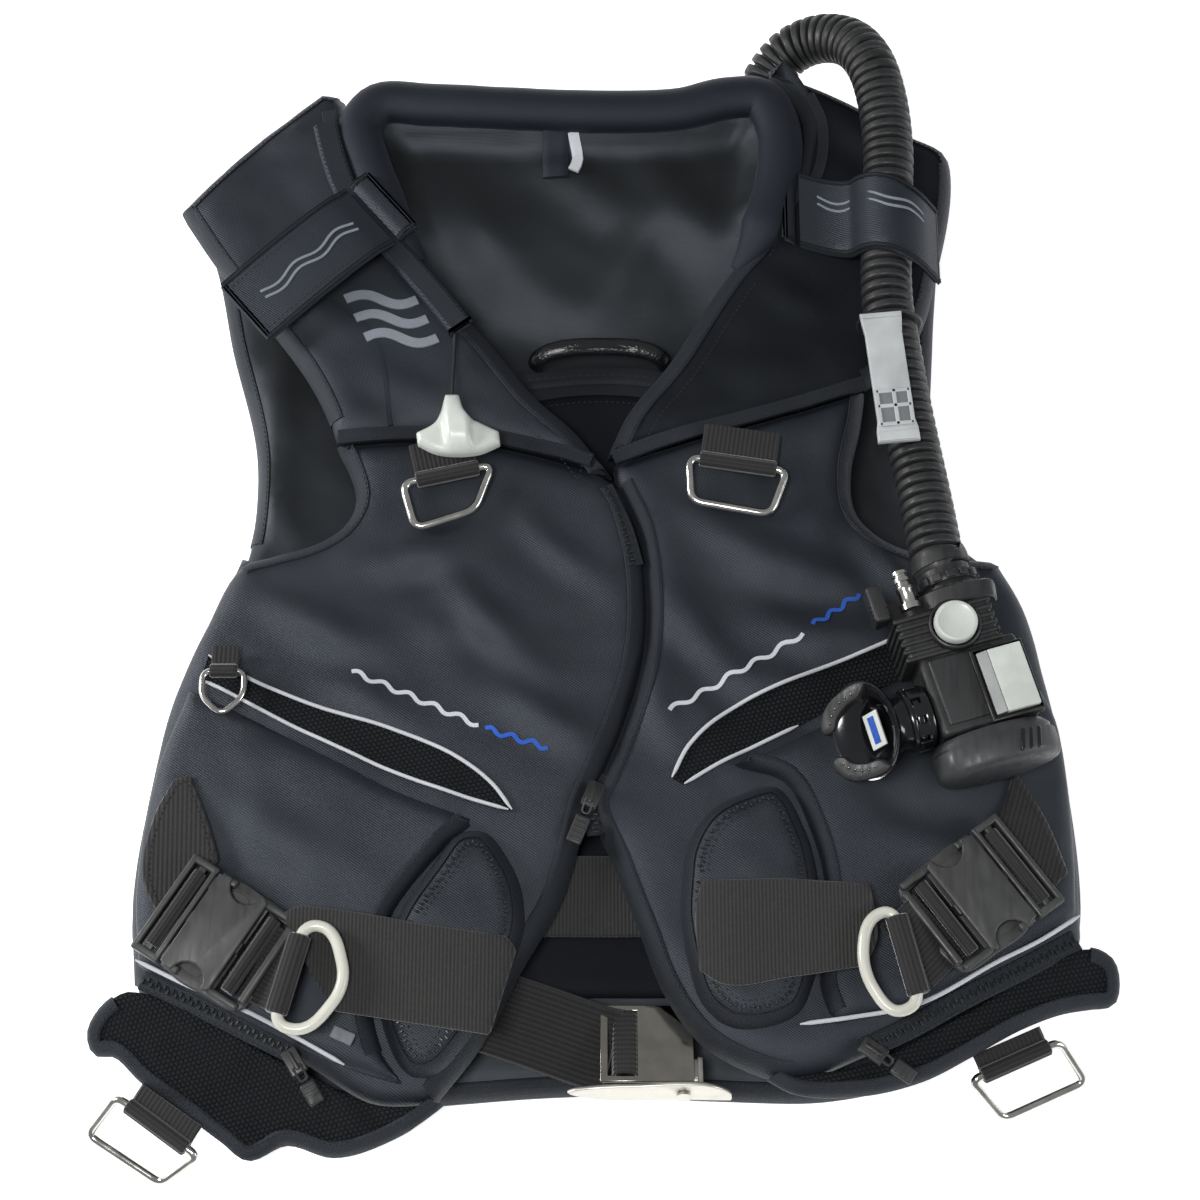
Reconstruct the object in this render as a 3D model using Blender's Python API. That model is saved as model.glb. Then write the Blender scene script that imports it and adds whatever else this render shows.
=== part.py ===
"""A buoyancy compensator vest for scuba diving, lying on its back with its front facing up.

All dimensions below are in millimetres and turned into metres when an object is made.
+X is to the right of someone looking down at the vest, +Y runs from the hem to the collar and +Z is up.
Plan positions are measured from the waist line, which lies WAIST_Y from the frame's origin.
The origin is under the middle of the vest, on the surface that it lies on.
"""

import math

import bmesh
import bpy
from mathutils import Matrix, Vector

MM = 0.001
WAIST_Y = -15.9
GAP = 0.4
# A cell larger than any panel, for a panel that stays undivided.
WHOLE = 900.0

# Heights of the layers.
BACK_TOP = 22.0
COLLAR_BACK_TOP = 41.0
PAD_TOP = 28.0
CUMMERBUND = (38.0, 41.0)
LOBE_LOW = 42.0
LOBE_TOP = 58.0
SIDE_DROP = 9.0
HEM_DROP = 6.0
STRAP = (73.0, 76.0)

HOSE_RADIUS = 15.5
HOSE_ROUTE = [
    (103.0, 348.6, 20.0),
    (103.0, 353.0, 20.0),
    (103.0, 358.0, 20.0),
    (110.0, 374.0, 25.0),
    (124.0, 386.0, 35.0),
    (142.0, 387.0, 47.0),
    (159.0, 375.0, 61.0),
    (170.0, 352.0, 72.0),
    (176.0, 322.0, 75.5),
    (178.0, 288.0, 76.0),
    (176.0, 253.0, 76.0),
    (174.0, 218.0, 76.0),
    (173.5, 183.0, 76.5),
    (177.0, 149.0, 77.5),
    (181.0, 115.0, 78.5),
    (186.0, 80.0, 80.0),
    (190.5, 46.0, 84.0),
    (193.8, 16.4, 88.0),
    (195.2, 11.6, 88.0),
    (196.6, 6.7, 88.0),
]
CORD_RADIUS = 1.0
CORD_ROUTE = [
    (-88.0, 188.0, 62.5),
    (-88.0, 170.0, 62.5),
    (-88.0, 157.0, 63.5),
    (-88.0, 144.0, 67.5),
    (-88.0, 133.0, 73.5),
    (-88.0, 122.4, 76.5),
]

# The inflator's own frame: +Y points to the hose, and it is turned about +Z.
INFLATOR_AT = (196.0, -35.0, 0.0)
INFLATOR_TURN = math.radians(16)

ZIP_CENTRE = (-188.0, -9.0)

FINISHES = {
    "nylon": ((0.020, 0.021, 0.025), 0.85, 0.0),
    "liner": ((0.030, 0.032, 0.030), 0.6, 0.0),
    "neoprene": ((0.012, 0.013, 0.018), 0.9, 0.0),
    "webbing": ((0.035, 0.033, 0.031), 0.8, 0.0),
    "mesh": ((0.015, 0.015, 0.016), 0.9, 0.0),
    "plastic": ((0.035, 0.036, 0.036), 0.45, 0.0),
    "rubber": ((0.028, 0.029, 0.030), 0.6, 0.0),
    "pale": ((0.62, 0.64, 0.60), 0.4, 0.0),
    "grey": ((0.42, 0.43, 0.42), 0.5, 0.0),
    "ivory": ((0.78, 0.77, 0.68), 0.35, 0.0),
    "steel": ((0.62, 0.61, 0.58), 0.2, 1.0),
    "satin_steel": ((0.66, 0.65, 0.60), 0.4, 1.0),
}


# --- scene and object helpers ---------------------------------------------------------------------


def clear_scene():
    for obj in list(bpy.data.objects):
        bpy.data.objects.remove(obj, do_unlink=True)


def new_collection(name):
    collection = bpy.data.collections.new(name)
    bpy.context.scene.collection.children.link(collection)
    return collection


clear_scene()
PARTS = new_collection("buoyancy_vest")
CUTTERS = new_collection("cutters")
CUTTERS.hide_render = True


def material(name, finish):
    colour, roughness, metallic = FINISHES[finish]
    made = bpy.data.materials.new(name)
    made.use_nodes = True
    shader = made.node_tree.nodes["Principled BSDF"]
    shader.inputs["Base Color"].default_value = (*colour, 1.0)
    shader.inputs["Roughness"].default_value = roughness
    shader.inputs["Metallic"].default_value = metallic
    made.diffuse_color = (*colour, 1.0)
    return made


def at(x, y, z):
    """A plan position in millimetres as a point of the frame in metres."""
    return Vector((x, y + WAIST_Y, z)) * MM


def add_object(name, data, finish):
    obj = bpy.data.objects.new(name, data)
    PARTS.objects.link(obj)
    data.materials.append(material(name, finish))
    return obj


def from_bmesh(name, bm, finish, origin=(0.0, 0.0, 0.0), placed=None):
    """Turns a bmesh in millimetres into an object whose origin is the plan point given."""
    if placed is not None:
        bm.transform(placed)
    bm.normal_update()
    bmesh.ops.recalc_face_normals(bm, faces=bm.faces)
    bm.transform(Matrix.Translation(-Vector(origin)))
    bm.transform(Matrix.Diagonal((MM, MM, MM, 1.0)))
    data = bpy.data.meshes.new(name)
    bm.to_mesh(data)
    bm.free()
    obj = add_object(name, data, finish)
    obj.location = at(*origin)
    return obj


def combine(target, other, operation):
    """Adds an exact Boolean to target and sets the other object aside as its tool."""
    modifier = target.modifiers.new(other.name, "BOOLEAN")
    modifier.operation = operation
    modifier.solver = "EXACT"
    modifier.object = other
    PARTS.objects.unlink(other)
    CUTTERS.objects.link(other)
    other.hide_render = True
    other.display_type = "WIRE"


# --- shapes ---------------------------------------------------------------------------------------


def turn(angle, centre=(0.0, 0.0, 0.0)):
    return Matrix.Translation(Vector(centre)) @ Matrix.Rotation(angle, 4, "Z")


INFLATOR = turn(INFLATOR_TURN, INFLATOR_AT)


def inflator_point(x, y, z):
    return tuple(INFLATOR @ Vector((x, y, z)))


def box_mesh(size, centre, bevel=0.0):
    bm = bmesh.new()
    bmesh.ops.create_cube(bm, size=1.0)
    bm.transform(Matrix.Translation(Vector(centre)) @ Matrix.Diagonal((*size, 1.0)))
    if bevel:
        bmesh.ops.bevel(
            bm, geom=bm.edges[:], offset=bevel, segments=2, profile=0.6, affect="EDGES"
        )
    return bm


def drum_mesh(radius, depth, centre, axis="Z", sides=20, top_radius=None):
    bm = bmesh.new()
    bmesh.ops.create_cone(
        bm,
        cap_ends=True,
        segments=sides,
        radius1=radius,
        radius2=radius if top_radius is None else top_radius,
        depth=depth,
    )
    turns = {"X": (math.pi / 2, "Y"), "Y": (-math.pi / 2, "X"), "Z": (0.0, "Z")}
    angle, about = turns[axis]
    bm.transform(Matrix.Translation(Vector(centre)) @ Matrix.Rotation(angle, 4, about))
    return bm


def sheet_between(outline, low, high, cell):
    """A closed slab over a plan outline, between two heights that are functions of x and y."""
    bm = bmesh.new()
    bm.faces.new([bm.verts.new((x, y, 0.0)) for x, y in outline])
    for axis in (0, 1):
        values = [point[axis] for point in outline]
        normal = Vector((1.0, 0.0, 0.0)) if axis == 0 else Vector((0.0, 1.0, 0.0))
        step = math.floor(min(values) / cell) + 1
        while step * cell < max(values) - 1.0:
            bmesh.ops.bisect_plane(
                bm,
                geom=bm.verts[:] + bm.edges[:] + bm.faces[:],
                plane_co=normal * (step * cell),
                plane_no=normal,
            )
            step += 1
    bottom = bm.verts[:]
    made = bmesh.ops.extrude_face_region(bm, geom=bm.faces[:], use_keep_orig=True)
    top = [item for item in made["geom"] if isinstance(item, bmesh.types.BMVert)]
    for vert in top:
        vert.co.z = high(vert.co.x, vert.co.y)
    for vert in bottom:
        vert.co.z = low(vert.co.x, vert.co.y)
    return bm


def level(height):
    return lambda x, y: height


def slab(name, finish, outline, low, high, cell=40.0, origin=(0.0, 0.0, 0.0)):
    return from_bmesh(name, sheet_between(outline, low, high, cell), finish, origin)


def smooth_route(points, spans):
    """Points on a Catmull-Rom curve through the route, spans of them to each stretch."""
    ends = [points[0]] + list(points) + [points[-1]]
    found = []
    for index in range(1, len(ends) - 2):
        before, start, stop, after = (Vector(ends[index + k]) for k in (-1, 0, 1, 2))
        for step in range(spans):
            t = step / spans
            found.append(
                0.5
                * (
                    2 * start
                    + (stop - before) * t
                    + (2 * before - 5 * start + 4 * stop - after) * t**2
                    + (3 * start - before - 3 * stop + after) * t**3
                )
            )
    return found + [Vector(points[-1])]


def tube(name, finish, points, radius, closed=False, origin=None, resolution=2):
    """A round wire or tube along plan points, as a curve with a bevel."""
    origin = Vector(origin if origin is not None else (0.0, 0.0, 0.0))
    data = bpy.data.curves.new(name, "CURVE")
    data.dimensions = "3D"
    data.bevel_depth = radius * MM
    data.bevel_resolution = resolution
    data.use_fill_caps = not closed
    spline = data.splines.new("POLY")
    spline.points.add(len(points) - 1)
    for target, point in zip(spline.points, points):
        target.co = (*((Vector(point) - origin) * MM), 1.0)
    spline.use_cyclic_u = closed
    obj = add_object(name, data, finish)
    obj.location = at(*origin)
    return obj


def rounded_loop(corners, radius, steps=3):
    """The closed path through the corners, each rounded off by a short quadratic curve."""
    path = []
    count = len(corners)
    for index, corner in enumerate(corners):
        corner = Vector(corner)
        before = Vector(corners[index - 1]) - corner
        after = Vector(corners[(index + 1) % count]) - corner
        start = corner + before.normalized() * min(radius, before.length / 2.1)
        stop = corner + after.normalized() * min(radius, after.length / 2.1)
        for step in range(steps + 1):
            t = step / steps
            path.append(start * (1 - t) ** 2 + corner * 2 * t * (1 - t) + stop * t**2)
    return path


def ring(name, finish, corners, radius, corner_radius, hinge_at):
    return tube(name, finish, rounded_loop(corners, corner_radius), radius, True, hinge_at)


def loop_tab(name, finish, bar_from, bar_to, width, reach, away, bore):
    """Webbing folded round a ring's bar: an extruded eye with a tail that runs away from the bar."""
    start, stop = Vector(bar_from), Vector(bar_to)
    along = (stop - start).normalized()
    tail = Vector(away) - along * Vector(away).dot(along)
    tail.normalize()
    normal = tail.cross(along)
    outer = bore + 2.0
    eye = []
    for step in range(9):
        angle = math.radians(90 + 22.5 * step)
        eye.append((outer * math.cos(angle), outer * math.sin(angle)))
    profile = eye + [(reach, -outer), (reach, -outer + 3.0), (outer * 1.2, -outer + 3.6)]
    middle = (start + stop) / 2
    data = bpy.data.curves.new(name, "CURVE")
    data.dimensions = "2D"
    data.fill_mode = "BOTH"
    data.extrude = width / 2 * MM
    hole = [
        (bore * math.cos(math.radians(45 * k)), bore * math.sin(math.radians(45 * k)))
        for k in range(8)
    ]
    for path in (profile, hole):
        spline = data.splines.new("POLY")
        spline.points.add(len(path) - 1)
        for target, point in zip(spline.points, path):
            target.co = (point[0] * MM, point[1] * MM, 0.0, 1.0)
        spline.use_cyclic_u = True
    obj = add_object(name, data, finish)
    frame = Matrix((tail, -normal, along)).transposed()
    if frame.determinant() < 0:
        frame = Matrix((tail, -normal, -along)).transposed()
    obj.matrix_world = Matrix.Translation(at(*middle)) @ frame.to_4x4()
    return obj


# --- the lie of the vest --------------------------------------------------------------------------


def side_roll(x):
    return max(0.0, (abs(x) - 120.0) / 150.0) ** 2


def front_top(x, y):
    """Height of the front lobes' outer surface."""
    hem = max(0.0, (-200.0 - y) / 100.0) ** 2
    return LOBE_TOP - SIDE_DROP * side_roll(x) - HEM_DROP * hem


def above_front(lift):
    return lambda x, y: front_top(x, y) + lift


def back_top(x, y):
    """The back rises from the pad towards the collar and the shoulders."""
    rise = min(1.0, max(0.0, (y - 180.0) / 90.0))
    return BACK_TOP + (COLLAR_BACK_TOP - BACK_TOP) * (3 * rise**2 - 2 * rise**3)


def skirt_top(x, y):
    """The mesh skirts hang from the pocket zips down to the hem."""
    zip_y = -226.0 - 0.45 * (x + 262.0) if x < 0 else -268.0 + 0.508 * (x - 144.0)
    return 49.0 - 22.0 * min(1.0, max(0.0, (zip_y - 4.0 - y) / 45.0))


# --- back and torso side --------------------------------------------------------------------------

BACK_OUTLINE = [
    (-164, 332), (-210, 304), (-256, 262), (-244, 244), (-229, 182), (-211, 112),
    (-210, 70), (-216, 35), (-236, -20), (-253, -66), (-260, -110), (-268, -190),
    (-262, -228), (-209, -288), (-150, -289), (0, -280), (68, -283), (130, -283),
    (190, -268), (226, -246), (262, -222), (276, -178), (272, -100), (264, -50), (254, -4),
    (240, 30), (214, 56), (204, 110), (208, 190), (212, 250), (214, 296),
    (186, 314), (142, 330), (84, 333), (40, 331), (-60, 331), (-120, 334),
]
PLATE_OUTLINE = [
    (-70, -215), (70, -215), (92, -190), (96, -60), (88, 60), (70, 150), (52, 172),
    (-52, 172), (-70, 150), (-88, 60), (-96, -60), (-92, -190),
]
PLATE_THICK = 10.0
VALVE_AT = (-196.0, 246.0)


def grown(outline, amount):
    """The outline with every point moved away from its middle by about the amount."""
    middle = Vector((0.0, 0.0))
    for point in outline:
        middle += Vector(point) / len(outline)
    return [tuple(Vector(p) + (Vector(p) - middle).normalized() * amount) for p in outline]


def back_bladder():
    back = slab("back_bladder", "nylon", BACK_OUTLINE, level(0.0), back_top, 45.0)
    wider = grown(PLATE_OUTLINE, 1.5)
    recess = slab("plate_recess", "nylon", wider, level(-5.0), level(PLATE_THICK + 0.6), WHOLE)
    combine(back, recess, "DIFFERENCE")
    seat = from_bmesh("valve_seat", drum_mesh(24.0, 24.0, (*VALVE_AT, 0.6)), "nylon")
    combine(back, seat, "DIFFERENCE")


def backpack_plate():
    slab("backpack_plate", "plastic", PLATE_OUTLINE, level(0.0), level(PLATE_THICK), WHOLE)


def dump_valve():
    from_bmesh("dump_valve", drum_mesh(22.5, 11.0, (*VALVE_AT, 6.0), sides=24), "plastic")


def back_pad():
    outline = [
        (-92, -228), (92, -228), (98, -216), (98, -60), (88, 60), (74, 124), (50, 140),
        (-50, 140), (-74, 124), (-88, 60), (-98, -60), (-98, -216),
    ]
    slab("back_pad", "neoprene", outline, level(BACK_TOP + GAP), level(PAD_TOP), WHOLE)


def carry_handle():
    path = smooth_route(
        [(-40, 166, 27.0), (-38, 167, 33.0), (-30, 170, 37.0), (0, 173, 38.0),
         (30, 170, 37.0), (38, 167, 33.0), (40, 166, 27.0)], 2
    )
    tube("carry_handle", "rubber", path, 4.6)


def cummerbund():
    outline = [
        (-214, -196), (-40, -196), (40, -196), (214, -196), (214, -128), (40, -150),
        (-40, -150), (-214, -128),
    ]
    slab("cummerbund", "webbing", outline, level(CUMMERBUND[0]), level(CUMMERBUND[1]), WHOLE)


def collar_roll():
    route = [
        (-128, 246, 54), (-136, 268, 54), (-145, 292, 54), (-151, 318, 54), (-140, 334, 54),
        (-108, 334, 54), (-50, 331, 54), (0, 329, 54), (50, 331, 54), (82, 339, 54),
        (102, 338, 54), (112, 318, 54), (113, 296, 54), (108, 268, 54), (100, 242, 54),
    ]
    tube("collar_roll", "neoprene", smooth_route(route, 2), 11.5)


# --- front ----------------------------------------------------------------------------------------

NECK_LEFT = [(6, 82), (-15, 110), (-42, 136), (-73, 176), (-105, 210), (-116, 228)]
YOKE_LEFT = NECK_LEFT + [
    (-134, 232), (-150, 262), (-161, 294), (-168, 322), (-164, 342), (-176, 346),
    (-221, 308), (-262, 265), (-243, 235), (-222, 205), (-200, 180), (-176, 145),
    (-163, 118), (-159, 104), (-90, 108), (-24, 94),
]
YOKE_RIGHT = [
    (5, 94), (18, 123), (43, 156), (67, 196), (84, 226), (98, 226), (113, 238),
    (122, 266), (128, 298), (127, 324), (116, 350), (106, 362), (155, 340), (196, 315),
    (217, 304), (220, 293), (207, 216), (196, 180), (172, 150), (160, 141), (96, 120),
    (36, 102),
]
LOBE_LEFT = [
    (7, 77), (21, 44), (26, 0), (23, -37), (12, -74), (0, -104), (-7, -121), (-14, -149),
    (-23, -178), (-45, -217), (-66, -257), (-93, -292), (-124, -291), (-165, -268),
    (-262, -224), (-266, -169), (-258, -103), (-250, -60), (-232, -12), (-212, 26),
    (-196, 31), (-166, 40), (-152, 50), (-145, 66), (-150, 86), (-158, 101), (-90, 105),
    (-24, 91),
]
LOBE_RIGHT = [
    (9, 80), (23, 46), (28, 0), (25, -38), (14, -75), (2, -105), (-4, -120), (9, -157),
    (23, -194), (36, -228), (56, -256), (83, -272), (108, -278), (144, -266), (200, -238),
    (272, -201), (273, -152), (268, -85), (261, -46), (252, -4), (236, 28), (196, 32),
    (166, 42), (152, 58), (150, 86), (156, 112), (160, 137), (96, 117), (36, 99), (8, 90),
]
SIDE_LEFT = [
    (-214, 34), (-234, -20), (-251, -66), (-258, -110), (-266, -190), (-260, -222),
    (-238, -218), (-244, -190), (-236, -110), (-229, -66), (-212, -20), (-192, 28),
]
SIDE_RIGHT = [
    (238, 28), (252, -4), (262, -50), (270, -100), (274, -178), (270, -206), (246, -204),
    (250, -178), (248, -100), (240, -50), (230, -4), (216, 24),
]


def front_panels():
    slab("shoulder_yoke_l", "nylon", YOKE_LEFT, level(LOBE_LOW), front_top)
    slab("shoulder_yoke_r", "nylon", YOKE_RIGHT, level(LOBE_LOW), front_top)
    slab("front_lobe_l", "nylon", LOBE_LEFT, level(LOBE_LOW), front_top)
    slab("front_lobe_r", "nylon", LOBE_RIGHT, level(LOBE_LOW), front_top)
    for name, outline in (("side_panel_l", SIDE_LEFT), ("side_panel_r", SIDE_RIGHT)):
        slab(name, "nylon", outline, level(BACK_TOP + GAP), level(LOBE_LOW - GAP), WHOLE)


POCKET_LEFT = [
    (-238, -54), (-195, -76), (-154, -97), (-113, -118), (-72, -133), (-90, -150),
    (-118, -188), (-128, -226), (-122, -262), (-108, -282), (-136, -274), (-258, -216),
    (-262, -169), (-254, -103),
]
POCKET_RIGHT = [
    (78, -101), (114, -84), (140, -71), (175, -56), (225, -42), (250, -44), (263, -70),
    (268, -110), (269, -150), (268, -188), (222, -213), (177, -238), (130, -249),
    (123, -226), (128, -195), (127, -166), (121, -140), (106, -110),
]
POUCH_LEFT = [
    (-112, -190), (-88, -155), (-73, -139), (-57, -152), (-46, -172), (-44, -197),
    (-60, -235), (-76, -260), (-92, -276), (-104, -276), (-117, -256), (-122, -226),
]
POUCH_RIGHT = [
    (47, -170), (50, -150), (62, -130), (84, -118), (100, -115), (116, -142), (121, -166),
    (122, -195), (117, -226), (108, -243), (74, -250), (58, -238), (50, -215), (46, -190),
]
POCKET_LIFT = (1.5, 7.5)
POUCH_LIFT = (1.5, 13.5)


def pockets():
    for name, outline in (("pocket_l", POCKET_LEFT), ("pocket_r", POCKET_RIGHT)):
        slab(name, "nylon", outline, above_front(POCKET_LIFT[0]), above_front(POCKET_LIFT[1]))
    for name, outline in (("weight_pouch_l", POUCH_LEFT), ("weight_pouch_r", POUCH_RIGHT)):
        slab(name, "nylon", outline, above_front(POUCH_LIFT[0]), above_front(POUCH_LIFT[1]))


SKIRT_LEFT = [
    (-264, -229), (-166, -273), (-122, -296), (-96, -297), (-112, -307), (-147, -317),
    (-175, -310), (-196, -319), (-209, -309), (-234, -290), (-257, -272), (-275, -255),
    (-289, -262), (-292, -250), (-284, -238),
]
SKIRT_RIGHT = [
    (144, -270), (200, -243), (274, -205), (288, -210), (292, -220), (290, -232),
    (276, -235), (260, -237), (232, -249), (208, -260), (185, -276), (143, -285), (112, -283),
]


def skirts():
    for name, outline in (("mesh_skirt_l", SKIRT_LEFT), ("mesh_skirt_r", SKIRT_RIGHT)):
        slab(name, "mesh", outline, lambda x, y: skirt_top(x, y) - 5.0, skirt_top)


def pouch_straps():
    left = [(-158, -188), (-48, -204), (-60, -259), (-140, -246), (-146, -216)]
    right = [(56, -172), (57, -226), (68, -231), (146, -220), (152, -205), (150, -173)]
    for name, outline in (("pouch_strap_l", left), ("pouch_strap_r", right)):
        slab(name, "webbing", outline, level(STRAP[0]), level(STRAP[1]), WHOLE)


# --- side release buckles and pull rings ----------------------------------------------------------

BUCKLE_WIDTH = 64.0
SOCKET_LENGTH = 54.0
SOCKET_HEIGHT = 12.0
BUCKLES = {
    "l": {"centre": (-204.0, -207.0, 72.0), "turn": math.radians(148)},
    "r": {"centre": (203.0, -185.0, 72.0), "turn": math.radians(36)},
}


def buckle_frame(side):
    spec = BUCKLES[side]
    return turn(spec["turn"], spec["centre"])


def buckle_socket(side):
    """The socket's mouth faces its own +X. The plug's arms show through the windows in its sides."""
    frame = buckle_frame(side)
    socket = from_bmesh(
        f"buckle_socket_{side}",
        box_mesh((SOCKET_LENGTH, BUCKLE_WIDTH, SOCKET_HEIGHT), (0, 0, 0), 1.5),
        "plastic",
        placed=frame,
    )
    mouth = box_mesh((40.0, BUCKLE_WIDTH - 7.0, 7.0), (SOCKET_LENGTH / 2 - 18.0, 0, 0))
    combine(socket, from_bmesh(f"mouth_{side}", mouth, "plastic", placed=frame), "DIFFERENCE")
    window = box_mesh((18.0, BUCKLE_WIDTH + 8.0, 7.0), (SOCKET_LENGTH / 2 - 19.0, 0, 0))
    combine(socket, from_bmesh(f"window_{side}", window, "plastic", placed=frame), "DIFFERENCE")


# The plug's arms: distance from its middle, width and length.
PLUG_ARMS = {"arm_a": (22.0, 11.0, 38.0), "arm_b": (-22.0, 11.0, 38.0), "guide": (0.0, 8.0, 40.0)}


def buckle_plug(side):
    """The plug: a webbing bar outside the socket, two sprung arms and a middle guide inside it."""
    frame = buckle_frame(side)
    mouth_x = SOCKET_LENGTH / 2
    bar = from_bmesh(
        f"buckle_plug_{side}",
        box_mesh((17.0, 62.0, 9.0), (mouth_x + 9.2, 0, 0), 1.2),
        "plastic",
        origin=BUCKLES[side]["centre"],
        placed=frame,
    )
    for name, (y, wide, length) in PLUG_ARMS.items():
        arm = box_mesh((length, wide, 5.6), (mouth_x + 6.0 - length / 2, y, 0))
        combine(bar, from_bmesh(f"{name}_{side}", arm, "plastic", placed=frame), "UNION")


IVORY_RINGS = {
    "l": {
        "bar": ((-163.0, -198.0, 81.0), (-178.0, -254.0, 81.0)),
        "bow": ((-146.0, -201.0, 81.0), (-138.0, -232.0, 81.0), (-158.0, -258.0, 81.0)),
    },
    "r": {
        "bar": ((162.0, -189.0, 81.0), (175.0, -242.0, 81.0)),
        "bow": ((146.0, -196.0, 81.0), (143.0, -224.0, 81.0), (158.0, -249.0, 81.0)),
    },
}


def handle_rings():
    for side, spec in IVORY_RINGS.items():
        start, stop = spec["bar"]
        corners = [start, *spec["bow"], stop]
        ring(f"handle_ring_{side}", "ivory", corners, 3.2, 13.0, start)


# --- stainless rings and their webbing tabs -------------------------------------------------------

RING_WIRE = 2.5
RING_BORE = 3.2
RINGS = {
    "chest_{}_l": {
        "bar": ((-117.0, 71.0, 64.2), (-64.0, 83.0, 64.2)),
        "out": ((-74.0, 55.0, 61.6), (-109.0, 43.0, 61.6)),
        "tail": (-0.22, 0.97, 0.0),
        "reach": 22.0,
        "width": 38.0,
        "radius": 7.0,
    },
    "chest_{}_r": {
        "bar": ((53.0, 88.0, 64.2), (111.0, 79.0, 64.2)),
        "out": ((101.0, 52.0, 61.6), (54.0, 61.0, 61.6)),
        "tail": (0.15, 0.99, 0.0),
        "reach": 22.0,
        "width": 46.0,
        "radius": 7.0,
    },
    "hem_{}_l": {
        "bar": ((-270.0, -284.0, 25.0), (-223.0, -317.0, 25.0)),
        "out": ((-246.0, -329.0, 4.0), (-289.0, -302.0, 4.0)),
        "tail": (0.40, 0.60, 0.25),
        "reach": 13.0,
        "width": 42.0,
        "radius": 6.0,
    },
    "hem_{}_r": {
        "bar": ((208.0, -275.0, 25.0), (259.0, -253.0, 25.0)),
        "out": ((276.0, -272.0, 4.0), (228.0, -293.0, 4.0)),
        "tail": (-0.30, 0.70, 0.25),
        "reach": 11.0,
        "width": 42.0,
        "radius": 6.0,
    },
}


def steel_rings():
    for pattern, spec in RINGS.items():
        start, stop = (Vector(point) for point in spec["bar"])
        out = spec["out"]
        corners = [start, stop, *out]
        ring(pattern.format("ring"), "steel", corners, RING_WIRE, spec["radius"], tuple(start))
        middle = (start + stop) / 2
        half = (stop - start).normalized() * spec["width"] / 2
        loop_tab(
            pattern.format("tab"), "webbing", middle - half, middle + half,
            spec["width"], spec["reach"], spec["tail"], RING_BORE,
        )


POCKET_RING_BAR = ((-229.0, -46.0, 64.2), (-205.0, -46.0, 64.2))


def pocket_ring():
    start, stop = POCKET_RING_BAR
    bow = [(-205.0, -62.0, 64.6), (-217.0, -73.0, 65.0), (-229.0, -62.0, 64.6)]
    ring("pocket_ring", "steel", [start, stop, *bow], 1.8, 6.0, start)
    left = (-225.0, -46.0, 64.2)
    right = (-209.0, -46.0, 64.2)
    loop_tab("pocket_tab", "webbing", left, right, 16.0, 16.0, (0, 1, 0), 2.4)


# --- shoulder flaps -------------------------------------------------------------------------------

FLAP_THICK = 3.0
FLAP_L = {
    "hinge": (-142.0, 247.0, 68.0), "length": 97.0, "width": 48.0, "turn": math.radians(220.6),
}
FLAP_R = {"hinge": (122.0, 252.0, 60.5), "width": 48.0, "turn": math.radians(-22)}
# Distance along the right flap and height over its hinge: it climbs over the hose and comes down.
FLAP_R_RISE = [
    (0, 0), (18, 0.5), (32, 8), (39, 20), (46, 28.5), (57, 33), (68, 28.5), (76, 20), (83, 8),
    (87, 1),
]


def strip_profile(name, finish, rise, width, thick, frame, origin):
    """A band of even thickness, bent along a line of distances and heights."""
    bm = bmesh.new()
    count = len(rise)
    rows = []
    for index in range(count):
        here = Vector(rise[index])
        ahead = Vector(rise[min(index + 1, count - 1)]) - Vector(rise[max(index - 1, 0)])
        normal = Vector((-ahead.y, ahead.x)).normalized() * thick
        upper = here + normal
        row = [
            bm.verts.new((point.x, side * width / 2, point.y))
            for point in (here, upper)
            for side in (-1, 1)
        ]
        rows.append(row)
    order = (0, 1, 3, 2)
    for first, second in zip(rows, rows[1:]):
        for k in range(4):
            a, b = order[k], order[(k + 1) % 4]
            bm.faces.new((first[a], first[b], second[b], second[a]))
    for row in (rows[0], rows[-1]):
        bm.faces.new([row[k] for k in order])
    return from_bmesh(name, bm, finish, origin=origin, placed=frame)


def shoulder_flaps():
    frame = turn(FLAP_L["turn"], FLAP_L["hinge"])
    straight = [(0, 0), (FLAP_L["length"], 0)]
    strip_profile(
        "shoulder_flap_l", "nylon", straight, FLAP_L["width"], FLAP_THICK, frame, FLAP_L["hinge"]
    )
    lean = Matrix.Identity(4)
    lean.col[0] = (math.cos(FLAP_R["turn"]), math.sin(FLAP_R["turn"]), 0.0, 0.0)
    frame = Matrix.Translation(Vector(FLAP_R["hinge"])) @ lean
    strip_profile(
        "shoulder_flap_r", "nylon", FLAP_R_RISE, FLAP_R["width"], FLAP_THICK, frame, FLAP_R["hinge"]
    )


# --- dump pull, zips and whistle ------------------------------------------------------------------


def dump_sleeve():
    outline = [
        (-181, 320), (-175, 292), (-168, 268), (-154, 238), (-124, 206), (-98, 176),
        (-78, 174), (-80, 190), (-100, 212), (-116, 224), (-142, 243), (-152, 266),
        (-160, 292), (-168, 320),
    ]
    sleeve = slab("dump_sleeve", "nylon", outline, level(59.3), level(65.7), WHOLE)
    bore = drum_mesh(1.6, 34.0, (-88.0, 176.0, 62.5), "Y", 12)
    combine(sleeve, from_bmesh("cord_bore", bore, "nylon"), "DIFFERENCE")


def dump_cord():
    tube("dump_cord", "rubber", smooth_route(CORD_ROUTE, 4), CORD_RADIUS)


KNOB_HEIGHTS = (70.2, 83.0)


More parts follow.
